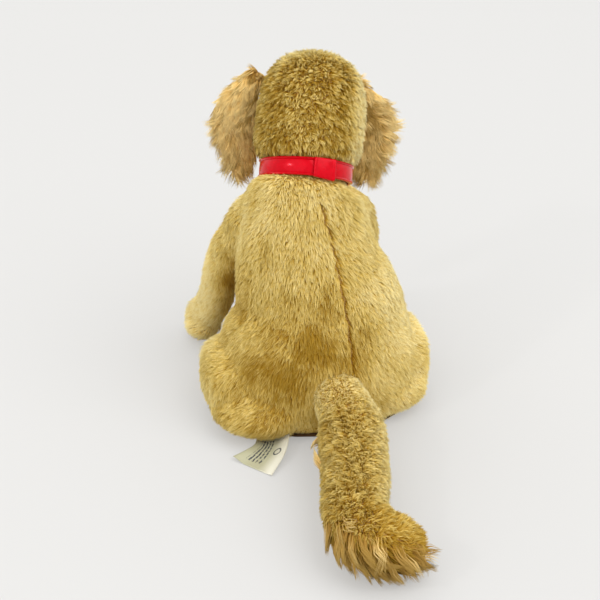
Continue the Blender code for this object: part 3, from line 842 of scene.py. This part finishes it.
def make_body():
    """Torso, neck, haunches and front legs, with fur that runs across them all."""
    torso = Skin(fused("body", body_grids()))
    legs = {
        f"front_leg_{name}": Skin(fused(f"front_leg_{name}", leg_grids(name, side), 0.002, 5)) for name, side in SIDES
    }
    grids = body_grids()
    for name, side in SIDES:
        grids += leg_grids(name, side) + [shoulder_grid(name, side)]
    whole = fused("field", grids, 0.0025, 14)
    field = Skin(whole)
    push = cloth_puff(whole, held_by_seams)
    for skin in (field, torso):
        skin.points += push(skin.points) - TUCK * skin.normals
        skin.points[:, 2] = np.maximum(skin.points[:, 2], SKIN_GAP)
        skin.points -= skin.normals * (SEAM_DEPTH * seam_nearness(skin.points) ** 2)[:, None]
    for body, mask in body_regions(torso.centres()).items():
        add_cloth(body, part_of(torso, body, mask), REPLACED[body])
    for body, skin in legs.items():
        add_cloth(body, part_of(skin, body), REPLACED[body])

    centres = field.centres()
    masks = body_regions(centres)
    from_torso = nearest(centres, torso.points)[1]
    for body, skin in legs.items():
        on_leg = (nearest(centres, skin.points)[1] < from_torso - 0.0003) & (centres[:, 1] < -0.005)
        for mask in masks.values():
            mask &= ~on_leg
        masks[body] = on_leg
    rng = np.random.default_rng(5)
    shared = dict(tint_spread=0.08, length_of=body_length, tint_of=body_tone_and_painted_light)
    coats = two_coats(
        (1.55e6, 0.008, 0.74, 0.62, 0.00092, 5, 0.4, 0.18, 0.48),
        (0.60e6, 0.0084, 0.86, 0.7, 0.00074, 4, 0.5, 0.16, 0.54),
        **shared,
    )
    for body, mask in masks.items():
        grow_layers(field, body, coats, body_comb, rng, mask, lambda points: seam_nearness(points) >= 0.82)


# Head


UPRIGHT = Matrix.Rotation(ROLL, 3, "Y")  # turns the head's upright frame, which only rolls to the side


def head_point(x, y, z):
    return HEAD_CENTRE + UPRIGHT @ Vector((x, y, z))


def head_stations(stations):
    return [(*head_point(*s[:3]), *s[3:]) for s in stations]


def head_place(points):
    """Places in the head's upright frame."""
    return (points - np.array(HEAD_CENTRE)) @ np.array(UPRIGHT)


def head_grids():
    rings = mm(
        (25, 28.5), (32.5, 31.8), (35, 40), (35.2, 55), (35, 67), (33.6, 79), (30.2, 89.2), (23.8, 97.5),
        (14.5, 102.7), (4, 104.5),
    )
    skull = [(*(NECK + NECK_AXIS * height), radius, radius) for radius, height in rings]
    muzzle = mm(
        (0, -18, -9, 20, 17), (0, -36, -10, 18.5, 14.5), (0, -50, -10, 16.5, 12.5), (0, -58, -9, 14, 10.5),
        (0, -62.5, -8, 8, 6.5),
    )
    chin = mm((0, -18, -21, 12, 8), (0, -36, -22.5, 11, 6.5), (0, -49, -21.5, 8, 5), (0, -53, -21, 3, 2.5))
    return [loft(skull, 40, 48), loft(head_stations(muzzle), 20, 32), loft(head_stations(chin), 14, 24)]


def head_comb(points, normals):
    """Down the head, and back from the nose over the face."""
    place = head_place(points)
    down = np.tile(-np.array(NECK_AXIS), (len(points), 1)) + np.array([0, 0.35, 0])
    face = smoothstep(-place[:, 1], 0.03, 0.042)[:, None]
    back = points - (np.array(HEAD_CENTRE) + np.array(UPRIGHT) @ np.array([0, -0.085, -0.008]))
    return down * (1 - face) + unit(back) * 1.4 * face


def eye_way(side):
    """The way from the head's centre to an eye, in its upright frame."""
    return side * 0.42, -0.86, 0.2


def head_length(points, normals):
    """Shorter over the face, and trimmed round the eyes and the nose."""
    place = head_place(points)
    face = smoothstep(-place[:, 1], 0.026, 0.042)
    eyes = np.ones(len(points))
    for _, side in SIDES:
        away = np.linalg.norm(place - unit(np.array(eye_way(side))) * 0.036, axis=1)
        eyes = np.minimum(eyes, np.clip((away - 0.004) / 0.01, 0.12, 1))
    nose = np.linalg.norm(place - np.array([0, -0.065, -0.003]), axis=1)
    nose = np.clip((nose - 0.004) / 0.014, 0.15, 1)
    return (1 - 0.45 * face) * eyes * nose


def head_tone_and_painted_light(points, normals):
    # Painted shade down the middle of the back of the head, painted light down its right rim and over the crown, and
    # painted shade on its left rim; then random waves of tone.
    x, y, z = head_place(points).T
    middle = np.exp(-((x / 0.022) ** 2)) * smoothstep(y, -0.02, 0.01)
    rim_light_and_shade = 1.1 * smoothstep(-x, 0.012, 0.03) - 0.22 * smoothstep(x, 0.014, 0.03)
    crown = smoothstep(z, 0.018, 0.032) * smoothstep(-y, -0.006, 0.01)
    painted_light_and_tone = 0.45 * crown - 0.26 * middle + rim_light_and_shade
    return painted_light_and_tone + 0.08 * waves(points, 14, 0.018) + 0.06 * waves(points, 15, 0.008)


def make_head():
    rng = np.random.default_rng(6)
    skin = Skin(fused("head", head_grids()))
    replaced = ("head_side_left", "head_side_right", "head_crown", "head_stuffing", "muzzle", "chin")
    add_cloth("head", part_of(skin, "head"), replaced)
    shared = dict(
        swirl=0.5, swirl_size=0.01, clump_turn=0.6, tint_spread=0.17, length_of=head_length, tint_of=head_tone_and_painted_light
    )
    coats = two_coats(
        (1.7e6, 0.0074, 0.85, 0.5, 0.0009, 7, 0.58, 0.3, 0.35),
        (0.75e6, 0.0082, 1.0, 0.5, 0.00078, 5, 0.66, 0.26, 0.44),
        **shared,
    )
    grow_layers(skin, "head", coats, head_comb, rng)


# Feet


def foot_grids(side):
    foot = mm(
        (68, -13, 19, 10, 12), (61, -32, 16.5, 8.8, 11.5), (47, -47, 15, 8.8, 11.2),
        (34.5, -60, 14.5, 9.2, 10.8), (27.5, -73, 14.5, 10.5, 11), (26.5, -83.5, 14, 7.5, 8),
    )
    toes = ellipsoid((side * 0.0268, -0.0765, 0.0135), (0.0125, 0.0135, 0.0112))
    return off_floor([loft(sided(foot, side), 30, 24), toes])


def make_feet():
    rng = np.random.default_rng(8)
    coat = Coat(
        density=1.3e6, length=0.0078, rise=0.72, lay=0.66, width=0.00105, clump=6, pull=0.45, stray=0.16,
        segments=1, tint=0.48, tint_of=lambda points, normals: 0.08 * waves(points, 26, 0.015),
    )
    for name, side in SIDES:
        body = f"hind_foot_{name}"
        skin = Skin(fused(body, foot_grids(side), 0.002, 5))
        SETTLES[body] = rides(f"hind_leg_{name}")
        add_cloth(body, part_of(skin, body), (body,))
        roots, normals = skin.scatter(rng, coat.density)
        forward = np.zeros_like(roots)
        forward[:, 0] = -side * np.clip((roots[:, 1] + 0.06) / 0.03, 0, 1)
        forward[:, 1] = -1
        grow(f"{body}_fur", coat, roots, normals, forward, rng, FUR, SETTLES[body])


# Tail


TAIL_PATH = mm(
    (2, 64, 38, 15, 15), (2, 78, 37, 17, 16.5), (1.5, 91.5, 34.5, 18, 17), (2.5, 105, 32.5, 19.5, 18),
    (6.5, 121, 30, 20, 18), (11.5, 140, 28.5, 19.5, 18), (16.5, 158, 28, 19, 18), (21.5, 172, 27.5, 18.5, 18),
    (26.2, 186, 27, 18, 17.8), (26, 202, 26.2, 17.8, 17.2), (18, 215, 25.2, 16.5, 16.2),
    (4, 220.5, 23.8, 13, 13.2), (-4.5, 220.5, 22.8, 6.5, 6.8),
)
TAIL_SPLIT = 0.122
TUFT_SPOTS = ((0.111, 0.0018), (0.142, 0.0014))  # where along Y, and how far either way
TAIL_LINE = smoothed([s[:3] for s in TAIL_PATH], 51)
TAIL_FLOW = unit(np.gradient(TAIL_LINE, axis=0))
SETTLES["tail_base"] = blends("tail_base", (0.002, 0.078, 0.036))
SETTLES["tail_tip"] = blends(
    "tail_tip",
    tuple(TAIL_BEND + Vector((-0.004, -0.014, 0))),
)


def tail_index(points):
    """The nearest step, from 0 to 50, along the tail's middle line."""
    return ((points[:, None] - TAIL_LINE[None]) ** 2).sum(2).argmin(1)


def tail_comb(points, normals):
    return TAIL_FLOW[tail_index(points)] + np.array([0, 0, -0.1])


def tail_feather(points, normals):
    """1 where the tail has long locks: underneath, and round the outside and end of its curled tip."""
    index = tail_index(points)
    away = points - TAIL_LINE[index]
    low = smoothstep(-away[:, 2], -0.002, 0.009)
    late = smoothstep(index, 31, 37)
    outer = smoothstep(0.8 * away[:, 1] + 0.6 * away[:, 0] - 0.4 * away[:, 2], 0.001, 0.009)
    return np.clip(np.maximum(low * (0.3 + 0.7 * late), late * outer), 0, 1)


def tail_tone_and_painted_light(points, normals):
    # Painted light at the root, against the shade of the rump's fur, and down the tail's right side. The end is
    # darker, partly a browner tone and partly painted shade between its locks, less so on its top, where painted
    # light falls. Then random waves of tone.
    index = tail_index(points)
    away = points - TAIL_LINE[index]
    late = smoothstep(index, 30, 42)
    top = smoothstep(away[:, 2], 0.0, 0.012)
    root = 1 - smoothstep(index, 4, 15)
    right_side_light = smoothstep(-away[:, 0], 0.006, 0.017)
    painted_light_and_tone = 0.42 * root - 0.08 + 0.34 * right_side_light - 0.72 * late * (1 - 0.65 * top)
    return painted_light_and_tone + 0.12 * waves(points, 34, 0.012) + 0.07 * waves(points, 35, 0.006)


def tail_length(points, normals):
    """Shorter where the tail grows out of the rump."""
    return 0.62 + 0.38 * smoothstep(tail_index(points), 6, 15)


def make_tail():
    rng = np.random.default_rng(9)
    skin = Skin(fused("tail", [loft(TAIL_PATH, 60, 36)], 0.002, 5))
    shared = dict(
        swirl=0.7, swirl_size=0.006, clump_turn=0.9, tint_spread=0.08, tint_of=tail_tone_and_painted_light, length_of=tail_length
    )
    coats = two_coats(
        (1.7e6, 0.0076, 0.85, 0.5, 0.00092, 5, 0.42, 0.28, 0.38),
        (0.75e6, 0.0082, 1.0, 0.52, 0.00076, 4, 0.52, 0.26, 0.48),
        **shared,
    )
    locks = Coat(
        density=8.0e5, length=0.023, rise=0.42, lay=0.92, width=0.00085, clump=26, pull=0.88, stray=0.12,
        segments=3, tint=0.34, swirl=0.5, swirl_size=0.02, curl=0.0022, round=0.8, tint_spread=0.32,
        tint_of=tail_tone_and_painted_light, length_of=lambda points, normals: 0.5 + 0.5 * tail_feather(points, normals),
    )
    beyond = skin.centres()[:, 1] > TAIL_SPLIT
    for body, mask in (("tail_base", ~beyond), ("tail_tip", beyond)):
        add_cloth(body, part_of(skin, body, mask), tuple(f"{body}_{part}" for part in ("lower", "upper", "stuffing")))
        grow_layers(skin, body, coats, tail_comb, rng, mask)
        roots, normals = skin.scatter(rng, locks.density, mask)
        chance = tail_feather(roots, normals) ** 1.5 * smoothstep(roots[:, 1], 0.085, 0.105)
        chosen = rng.random(len(roots)) < chance
        roots, normals = roots[chosen], normals[chosen]
        outward = unit((roots - TAIL_LINE[tail_index(roots)]) * np.array([1, 1, 0]))
        comb = 0.75 * TAIL_FLOW[tail_index(roots)] + 0.3 * outward + np.array([0, 0, -0.75])
        grow(f"{body}_locks", locks, roots, normals, comb, rng, EAR_FUR, SETTLES[body])

    # Two stray tufts on the tail's left edge
    tuft = Coat(
        density=3.0e6, length=0.018, rise=0.85, lay=0.55, width=0.0008, clump=40, pull=0.9, stray=0.06,
        segments=3, tint=0.6, swirl=0.1, swirl_size=0.02, curl=0.0008, round=1.2, tint_spread=0.05,
    )
    roots, normals = skin.scatter(rng, tuft.density)
    away = roots - TAIL_LINE[tail_index(roots)]
    spots = np.any([np.abs(roots[:, 1] - at) < reach for at, reach in TUFT_SPOTS], axis=0)
    chosen = spots & (away[:, 0] > 0.0165) & (np.abs(away[:, 2]) < 0.0025)
    comb = np.tile(np.array([0.55, 0.75, -0.2]), (int(chosen.sum()), 1))
    grow("tail_tufts", tuft, roots[chosen], normals[chosen], comb, rng, EAR_FUR, SETTLES["tail_base"])


# Ears


EAR_TOP = (0.038, -0.028, 0.014)
EAR_PATH = mm(
    (37, -28, 11, 6, 3), (42, -28, 2, 8.5, 3.6), (46.5, -28, -10, 13.5, 4), (49.5, -28, -23, 16.5, 4),
    (49, -28, -37, 15, 3.8), (48, -28, -50, 11.5, 3.4), (48, -28, -63, 5.5, 2.5),
)
EAR_ROWS = 30
EAR_SPLAY = math.radians(10)
# The two ears hang a little differently: spread, lift, bulge, lean, and how much narrower each row is
EAR_HANG = {"left": (1.06, 0.0, 0.0025, -0.0025, 0.055), "right": (1.12, 0.006, 0.0, 0.0065, 0.03)}
# Painted shade on the fur beside the head: how dark, from where to where across the ear, and how much it fades
# downwards
EAR_PAINTED_SHADE = {"left": (0.62, 0.0, 1.0, 0.6), "right": (0.8, -0.9, 0.2, 0.7)}


def make_ears():
    rng = np.random.default_rng(10)
    for name, side in SIDES:
        body = f"ear_{name}"
        turn = Matrix.Rotation(ROLL + EAR_SPLAY, 3, "Y")
        spread, lift, bulge, lean, narrower = EAR_HANG[name]
        shade_depth, shade_from, shade_to, fade = EAR_PAINTED_SHADE[name]
        placed = []
        for row, (x, y, z, wide, deep) in enumerate(EAR_PATH):
            x += bulge * math.sin(math.pi * min(row / 4, 1)) + lean * (row / 6) ** 1.5
            local = Vector((side * (x - EAR_TOP[0]) * spread, y - EAR_TOP[1], z - EAR_TOP[2] + lift))
            wide *= spread * (1 - narrower * row)
            placed.append((*(EAR_ROOT[name] + turn @ local), wide, deep))
        skin = Skin(fused(body, [loft(placed, EAR_ROWS, 28)], 0.0015, 3))
        SETTLES[body] = rides(body)
        replaced = (f"ear_outer_{name}", f"ear_lining_{name}")
        add_cloth(body, part_of(skin, body), replaced)

        line = smoothed([s[:3] for s in placed], EAR_ROWS)
        wide = np.interp(np.linspace(0, 1, EAR_ROWS), np.linspace(0, 1, len(placed)), [s[3] for s in placed])

        def across(points):
            """From -1 at the ear's inner edge to 1 at its outer edge, and the share of the way down."""
            index = np.abs(points[:, None, 2] - line[None, :, 2]).argmin(1)
            return side * (points[:, 0] - line[index, 0]) / wide[index], index / (EAR_ROWS - 1)

        def length_of(points, normals):
            edge, down = across(points)
            return 0.68 + 0.12 * np.clip(edge, -1, 1) + 0.4 * down - 0.22 * (1 - smoothstep(down, 0.0, 0.2))

        def tint_of(points, normals):
            edge, down = across(points)
            # Painted shade beside the head, over random waves of tone.
            painted_shade = shade_depth * smoothstep(-edge, shade_from, shade_to) * (1 - fade * down)
            return 0.12 * waves(points, 44, 0.01) - painted_shade

        coat = Coat(
            density=1.75e6, length=0.0185, rise=0.32, lay=0.94, width=0.0007, clump=13, pull=0.72, stray=0.18,
            segments=3, tint=0.76, swirl=0.35, swirl_size=0.018, curl=0.0014, round=1.7, tint_spread=0.3,
            length_of=length_of, tint_of=tint_of,
        )
        roots, normals = skin.scatter(rng, coat.density)
        edge, down = across(roots)
        comb = np.zeros_like(roots)
        comb[:, 0] = side * (0.85 + 0.45 * np.clip(edge, -1, 1) - 0.75 * down)
        comb[:, 2] = -1.0
        grow(f"{body}_fur", coat, roots, normals, comb, rng, EAR_FUR, SETTLES[body])


# Collar


COLLAR_MIDDLE = NECK + 0.021 * NECK_AXIS
# The same frame as the joint's: tilted about X and rolled about Y
COLLAR_TURN = UPRIGHT @ Matrix.Rotation(math.radians(30), 3, "X")
COLLAR_HALF = 0.0065  # half its width
# Degrees round the neck. The strap's end rises while it laps over its start
STRAP_FROM, STRAP_TO = 85, 530
LAP_FROM, LAP_TO = 400, 440
END_ROUNDING = 8
KEEPER_FROM, KEEPER_TO = 79, 106
STRAP_RADIUS = 0.0316
LAP_RISE = 0.0012
# How far out and how far from the edge; the strap is the same at both edges
STRAP_EDGE = mm((0, 0.2), (0.9, 0), (1.7, 0.3), (2.1, 0.9), (1.7, 1.5), (1, 1.9), (1.3, 2.6))
STRAP_MIDDLE = (0.0015, 0.0)
KEEPER_RIB = 0.0009
KEEPER_DROP = 0.0009
KEEPER_WALL = 0.0007


def collar_point(degrees, radius, height):
    angle = math.radians(degrees)
    return COLLAR_MIDDLE + COLLAR_TURN @ Vector((math.cos(angle) * radius, math.sin(angle) * radius, height))


def make_strap():
    """Glossy strap with a raised rib along each edge. Its end rises over its start, and is rounded."""
    section = [(out, inward - COLLAR_HALF) for out, inward in STRAP_EDGE]
    section += [STRAP_MIDDLE] + [(out, -height) for out, height in reversed(section)]
    rows = []
    for degrees in np.linspace(STRAP_FROM, STRAP_TO, 220):
        radius = STRAP_RADIUS + LAP_RISE * smoothstep(degrees, LAP_FROM, LAP_TO)
        end = min((STRAP_TO - degrees) / END_ROUNDING, 1)
        squeeze = math.sqrt(max(1 - (1 - end) ** 2, 0.02))
        rows.append([collar_point(degrees, radius + out, height * squeeze) for out, height in section])
    bm = bmesh.new()
    grid_to_bmesh(bm, rows)
    mesh = mesh_of(bm, "strap")
    mesh.set_sharp_from_angle(angle=math.radians(50))
    fit(new_object("strap", mesh), RED_VINYL, "collar", "collar_vinyl", "collar_strap")


def make_keeper():
    """The loop that holds the strap's end: a standing rib at each side, and a lower edge that drops."""
    rows = []
    for degrees in np.linspace(KEEPER_FROM, KEEPER_TO, 28):
        rib = max(math.exp(-(((degrees - at) / 1.1) ** 2)) for at in (KEEPER_FROM + 1.5, KEEPER_TO - 1.5))
        inner, outer = 0.0308, 0.0352 + KEEPER_RIB * rib
        drop = KEEPER_DROP * (degrees - KEEPER_FROM) / (KEEPER_TO - KEEPER_FROM)
        row = []
        for angle in np.linspace(0, 2 * math.pi, 24, endpoint=False):
            # A rounded rectangle
            across, up = (math.copysign(abs(way) ** 0.35, way) for way in (math.cos(angle), math.sin(angle)))
            radius = (inner + outer) / 2 + (outer - inner) / 2 * across
            row.append(collar_point(degrees, radius, (COLLAR_HALF + drop) * up - drop))
        rows.append(row)
    bm = bmesh.new()
    grid_to_bmesh(bm, rows, capped=False)
    keeper = new_object("keeper", mesh_of(bm, "keeper"))
    wall = keeper.modifiers.new("Solidify", "SOLIDIFY")
    wall.thickness = KEEPER_WALL
    wall.offset = 0
    fit(keeper, RED_VINYL, "collar", "collar_vinyl", "collar_keeper")


# Face fittings


EYE_RADIUS = 0.0055
EYE_OUT = 0.0362
NOSE_HALF = (0.008, 0.0052, 0.0056)


def make_face():
    """Domed eyes, and a nose with two nostrils that narrows downwards."""
    for name, side in SIDES:
        direction = Vector(eye_way(side)).normalized()
        bm = bmesh.new()
        bmesh.ops.create_uvsphere(bm, u_segments=32, v_segments=20, radius=EYE_RADIUS)
        for vert in bm.verts:
            if vert.co.z > 0:
                vert.co.z *= 0.85
        facing = (UPRIGHT @ direction).to_track_quat("Z", "Y").to_matrix().to_4x4()
        bm.transform(Matrix.Translation(head_point(*(direction * EYE_OUT))) @ facing)
        eye = new_object(f"eye_{name}_dome", mesh_of(bm, f"eye_{name}_dome", turn_out=False))
        fit(eye, BLACK_PLASTIC, "head", "eye_plastic", f"eye_{name}", f"eye_washer_{name}")

    bm = bmesh.new()
    bmesh.ops.create_uvsphere(bm, u_segments=36, v_segments=24, radius=1)
    for vert in bm.verts:
        x, y, z = vert.co
        narrow = 1 - 0.35 * max(-z, 0)
        nostril = sum(0.28 * math.exp(-(((x - s * 0.42) / 0.2) ** 2 + ((z + 0.25) / 0.22) ** 2)) for s in (1, -1))
        wide, deep, tall = NOSE_HALF
        vert.co = Vector((x * wide * narrow, y * deep * (1 - nostril * (y < 0)), z * tall))
    bm.transform(Matrix.Translation(head_point(0, -0.0632, -0.003)) @ UPRIGHT.to_4x4())
    nose = new_object("nose_tip", mesh_of(bm, "nose_tip", turn_out=False))
    fit(nose, NOSE_PLASTIC, "head", "nose_plastic", "nose")


# Care label


LABEL_LEFT = mm((58, 56, 2.5), (62.5, 68, 4), (71.5, 74.5, 4.6), (81, 77.5, 3.6))
LABEL_RIGHT = mm((34.5, 61, 8), (38.5, 73.5, 8.2), (46, 88.5, 6.2), (59.5, 103.5, 1.4))
LABEL_SAG = 0.0038
LABEL_THICKNESS = 0.0003


def label_material():
    """Satin with plain printed bars, broken into dashes, and a ring. Painted shadow greys and darkens the satin up to
    about U 0.62.
    """
    look = Looks("label_satin")
    uv, u, v = look.palette()
    calc = look.calc

    def within(value, low, high):
        return calc("MULTIPLY", calc("GREATER_THAN", value, low), calc("LESS_THAN", value, high))

    lines = calc("LESS_THAN", calc("FRACT", calc("MULTIPLY", u, 12)), 0.5)
    noise = look.add("TexNoise", {"Scale": 26}, noise_dimensions="2D")
    look.feed(noise, {"Vector": uv})
    dashes = calc("MULTIPLY", lines, calc("GREATER_THAN", noise.outputs["Fac"], 0.41))
    bars = calc("MULTIPLY", dashes, calc("MULTIPLY", within(u, 0.2, 0.58), within(v, 0.22, 0.84)))
    across = calc("MULTIPLY", calc("SUBTRACT", u, 0.76), 0.03)
    down = calc("MULTIPLY", calc("SUBTRACT", v, 0.58), 0.04)
    away = calc("SQRT", calc("ADD", calc("MULTIPLY", across, across), calc("MULTIPLY", down, down)))
    printed = calc("MAXIMUM", bars, within(away, 0.0021, 0.003))
    # Painted shadow: grey-olive satin up to about U 0.62, lighter past it.
    cloth = look.ramp(u, (0.0, srgb(166, 163, 130)), (0.62, srgb(172, 169, 138)), (0.86, srgb(210, 206, 186)))
    weave = look.add("TexWave", {"Scale": 60, "Vector": uv}, bands_direction="X")
    return look.finish(
        {
            "Base Color": look.mix(printed, cloth, (*srgb(34, 38, 48), 1)),
            "Normal": look.bump(weave.outputs["Fac"], 0.15, 0.0001),
            "Roughness": 0.38,
            "Sheen Weight": 0.2,
        }
    )


def make_label():
    """A curled satin strip, sewn under the rump."""
    rows, columns = 28, 20
    left, right = smoothed(LABEL_LEFT, rows), smoothed(LABEL_RIGHT, rows)
    bm = bmesh.new()
    layer = bm.loops.layers.uv.new("OFBake")
    grid = []
    for i in range(rows):
        line = []
        for w in np.arange(columns) / (columns - 1):
            place = left[i] * (1 - w) + right[i] * w
            place[2] = max(place[2] - LABEL_SAG * math.sin(math.pi * w) ** 1.5, 0.0008)
            line.append(bm.verts.new(place))
        grid.append(line)
    for i in range(rows - 1):
        for j in range(columns - 1):
            corners = ((i, j), (i + 1, j), (i + 1, j + 1), (i, j + 1))
            face = bm.faces.new([grid[a][b] for a, b in corners])
            for loop, (a, b) in zip(face.loops, corners):
                loop[layer].uv = (b / (columns - 1), a / (rows - 1))
    flat = new_object("label_flat", mesh_of(bm, "label"))
    flat.modifiers.new("Solidify", "SOLIDIFY").thickness = LABEL_THICKNESS
    label = new_object("label_sheet", after_modifiers(flat))
    bpy.data.objects.remove(flat)
    label.data.materials.clear()
    label.data.materials.append(label_material())
    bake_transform(label)
    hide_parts("care_label")


def make_pads():
    """Suede pads under the paws and soles."""
    for name, side in SIDES:
        paw = (leg_middle(name, side) + side * 0.0625, -0.0915, 0.0022)
        for node, body, place, half in (
            (f"paw_pad_{name}", f"front_leg_{name}", paw, (0.0085, 0.0105, 0.002)),
            (f"sole_pad_{name}", f"hind_leg_{name}", (side * 0.0275, -0.0765, 0.0022), (0.0062, 0.008, 0.002)),
        ):
            bm = bmesh.new()
            grid_to_bmesh(bm, ellipsoid(place, half))
            pad = new_object(f"{node}_suede", mesh_of(bm, f"{node}_suede"))
            fit(pad, SUEDE, body, "suede", node)


def dress_nodes():
    """A dark brown material for the CAD node that stays, as painted shadow under the rump's edge."""
    seat = frame["nodes"]["seat_panel"]
    seat.data.materials.clear()
    seat.data.materials.append(SEAT_PAINTED_SHADOW)


# Stage


LIGHTS = (  # name, place, size, power
    ("key", (-1.3, 1.2, 2.4), 2.8, 46),
    ("fill", (1.9, 1.4, 1.8), 2.8, 16),
    ("front", (0.2, -1.9, 1.8), 2.8, 18),
    ("spark", (1.05, 0.33, 0.93), 0.12, 2.2),  # shows as a glint on the collar
)


def face_along(obj, place, target):
    """Puts a lamp or a camera at its place, looking at the target."""
    obj.location = place
    obj.rotation_mode = "QUATERNION"
    obj.rotation_quaternion = (Vector(place) - target).to_track_quat("Z", "Y")


def make_stage():
    bm = bmesh.new()
    bmesh.ops.create_grid(bm, x_segments=1, y_segments=1, size=12)
    floor = new_object("floor", mesh_of(bm, "floor", turn_out=False))
    pale = {
        "Base Color": (0.3, 0.296, 0.288, 1),
        "Emission Color": (1.0, 0.99, 0.96, 1),
        "Emission Strength": 0.345,
        "Roughness": 0.9,
        "Specular IOR Level": 0.1,
    }
    floor.data.materials.append(Looks("floor").finish(pale))
    floor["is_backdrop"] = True

    world = bpy.data.worlds.new("studio")
    world.use_nodes = True
    background = world.node_tree.nodes["Background"]
    background.inputs["Color"].default_value = (0.97, 0.98, 1.0, 1)
    background.inputs["Strength"].default_value = 1.12
    bpy.context.scene.world = world

    for name, place, size, power in LIGHTS:
        light = bpy.data.lights.new(name, "AREA")
        light.shape = "DISK"
        light.size = size
        light.energy = power
        face_along(new_object(name, light), place, Vector((0, 0.02, 0.08)))


def make_camera():
    back = Vector(TO_CAMERA)
    right = (-back).cross(Vector((0, 0, 1))).normalized()
    up = right.cross(-back)
    camera = bpy.data.cameras.new("camera")
    camera.lens = LENS
    camera.sensor_width = 36
    obj = new_object("camera", camera)
    face_along(obj, AIM + back * CAMERA_DISTANCE, AIM - right * LOOK_LEFT - up * LOOK_DOWN)
    bpy.context.scene.camera = obj


bpy.context.scene.view_settings.view_transform = "Standard"
for make in (
    make_body, make_head, make_feet, make_tail, make_ears, make_strap, make_keeper, make_face, make_label,
    make_pads, dress_nodes, make_stage, make_camera,
):
    make()
boxes = [[list(corner) for corner in box] for box in (CAD_BOX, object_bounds())]
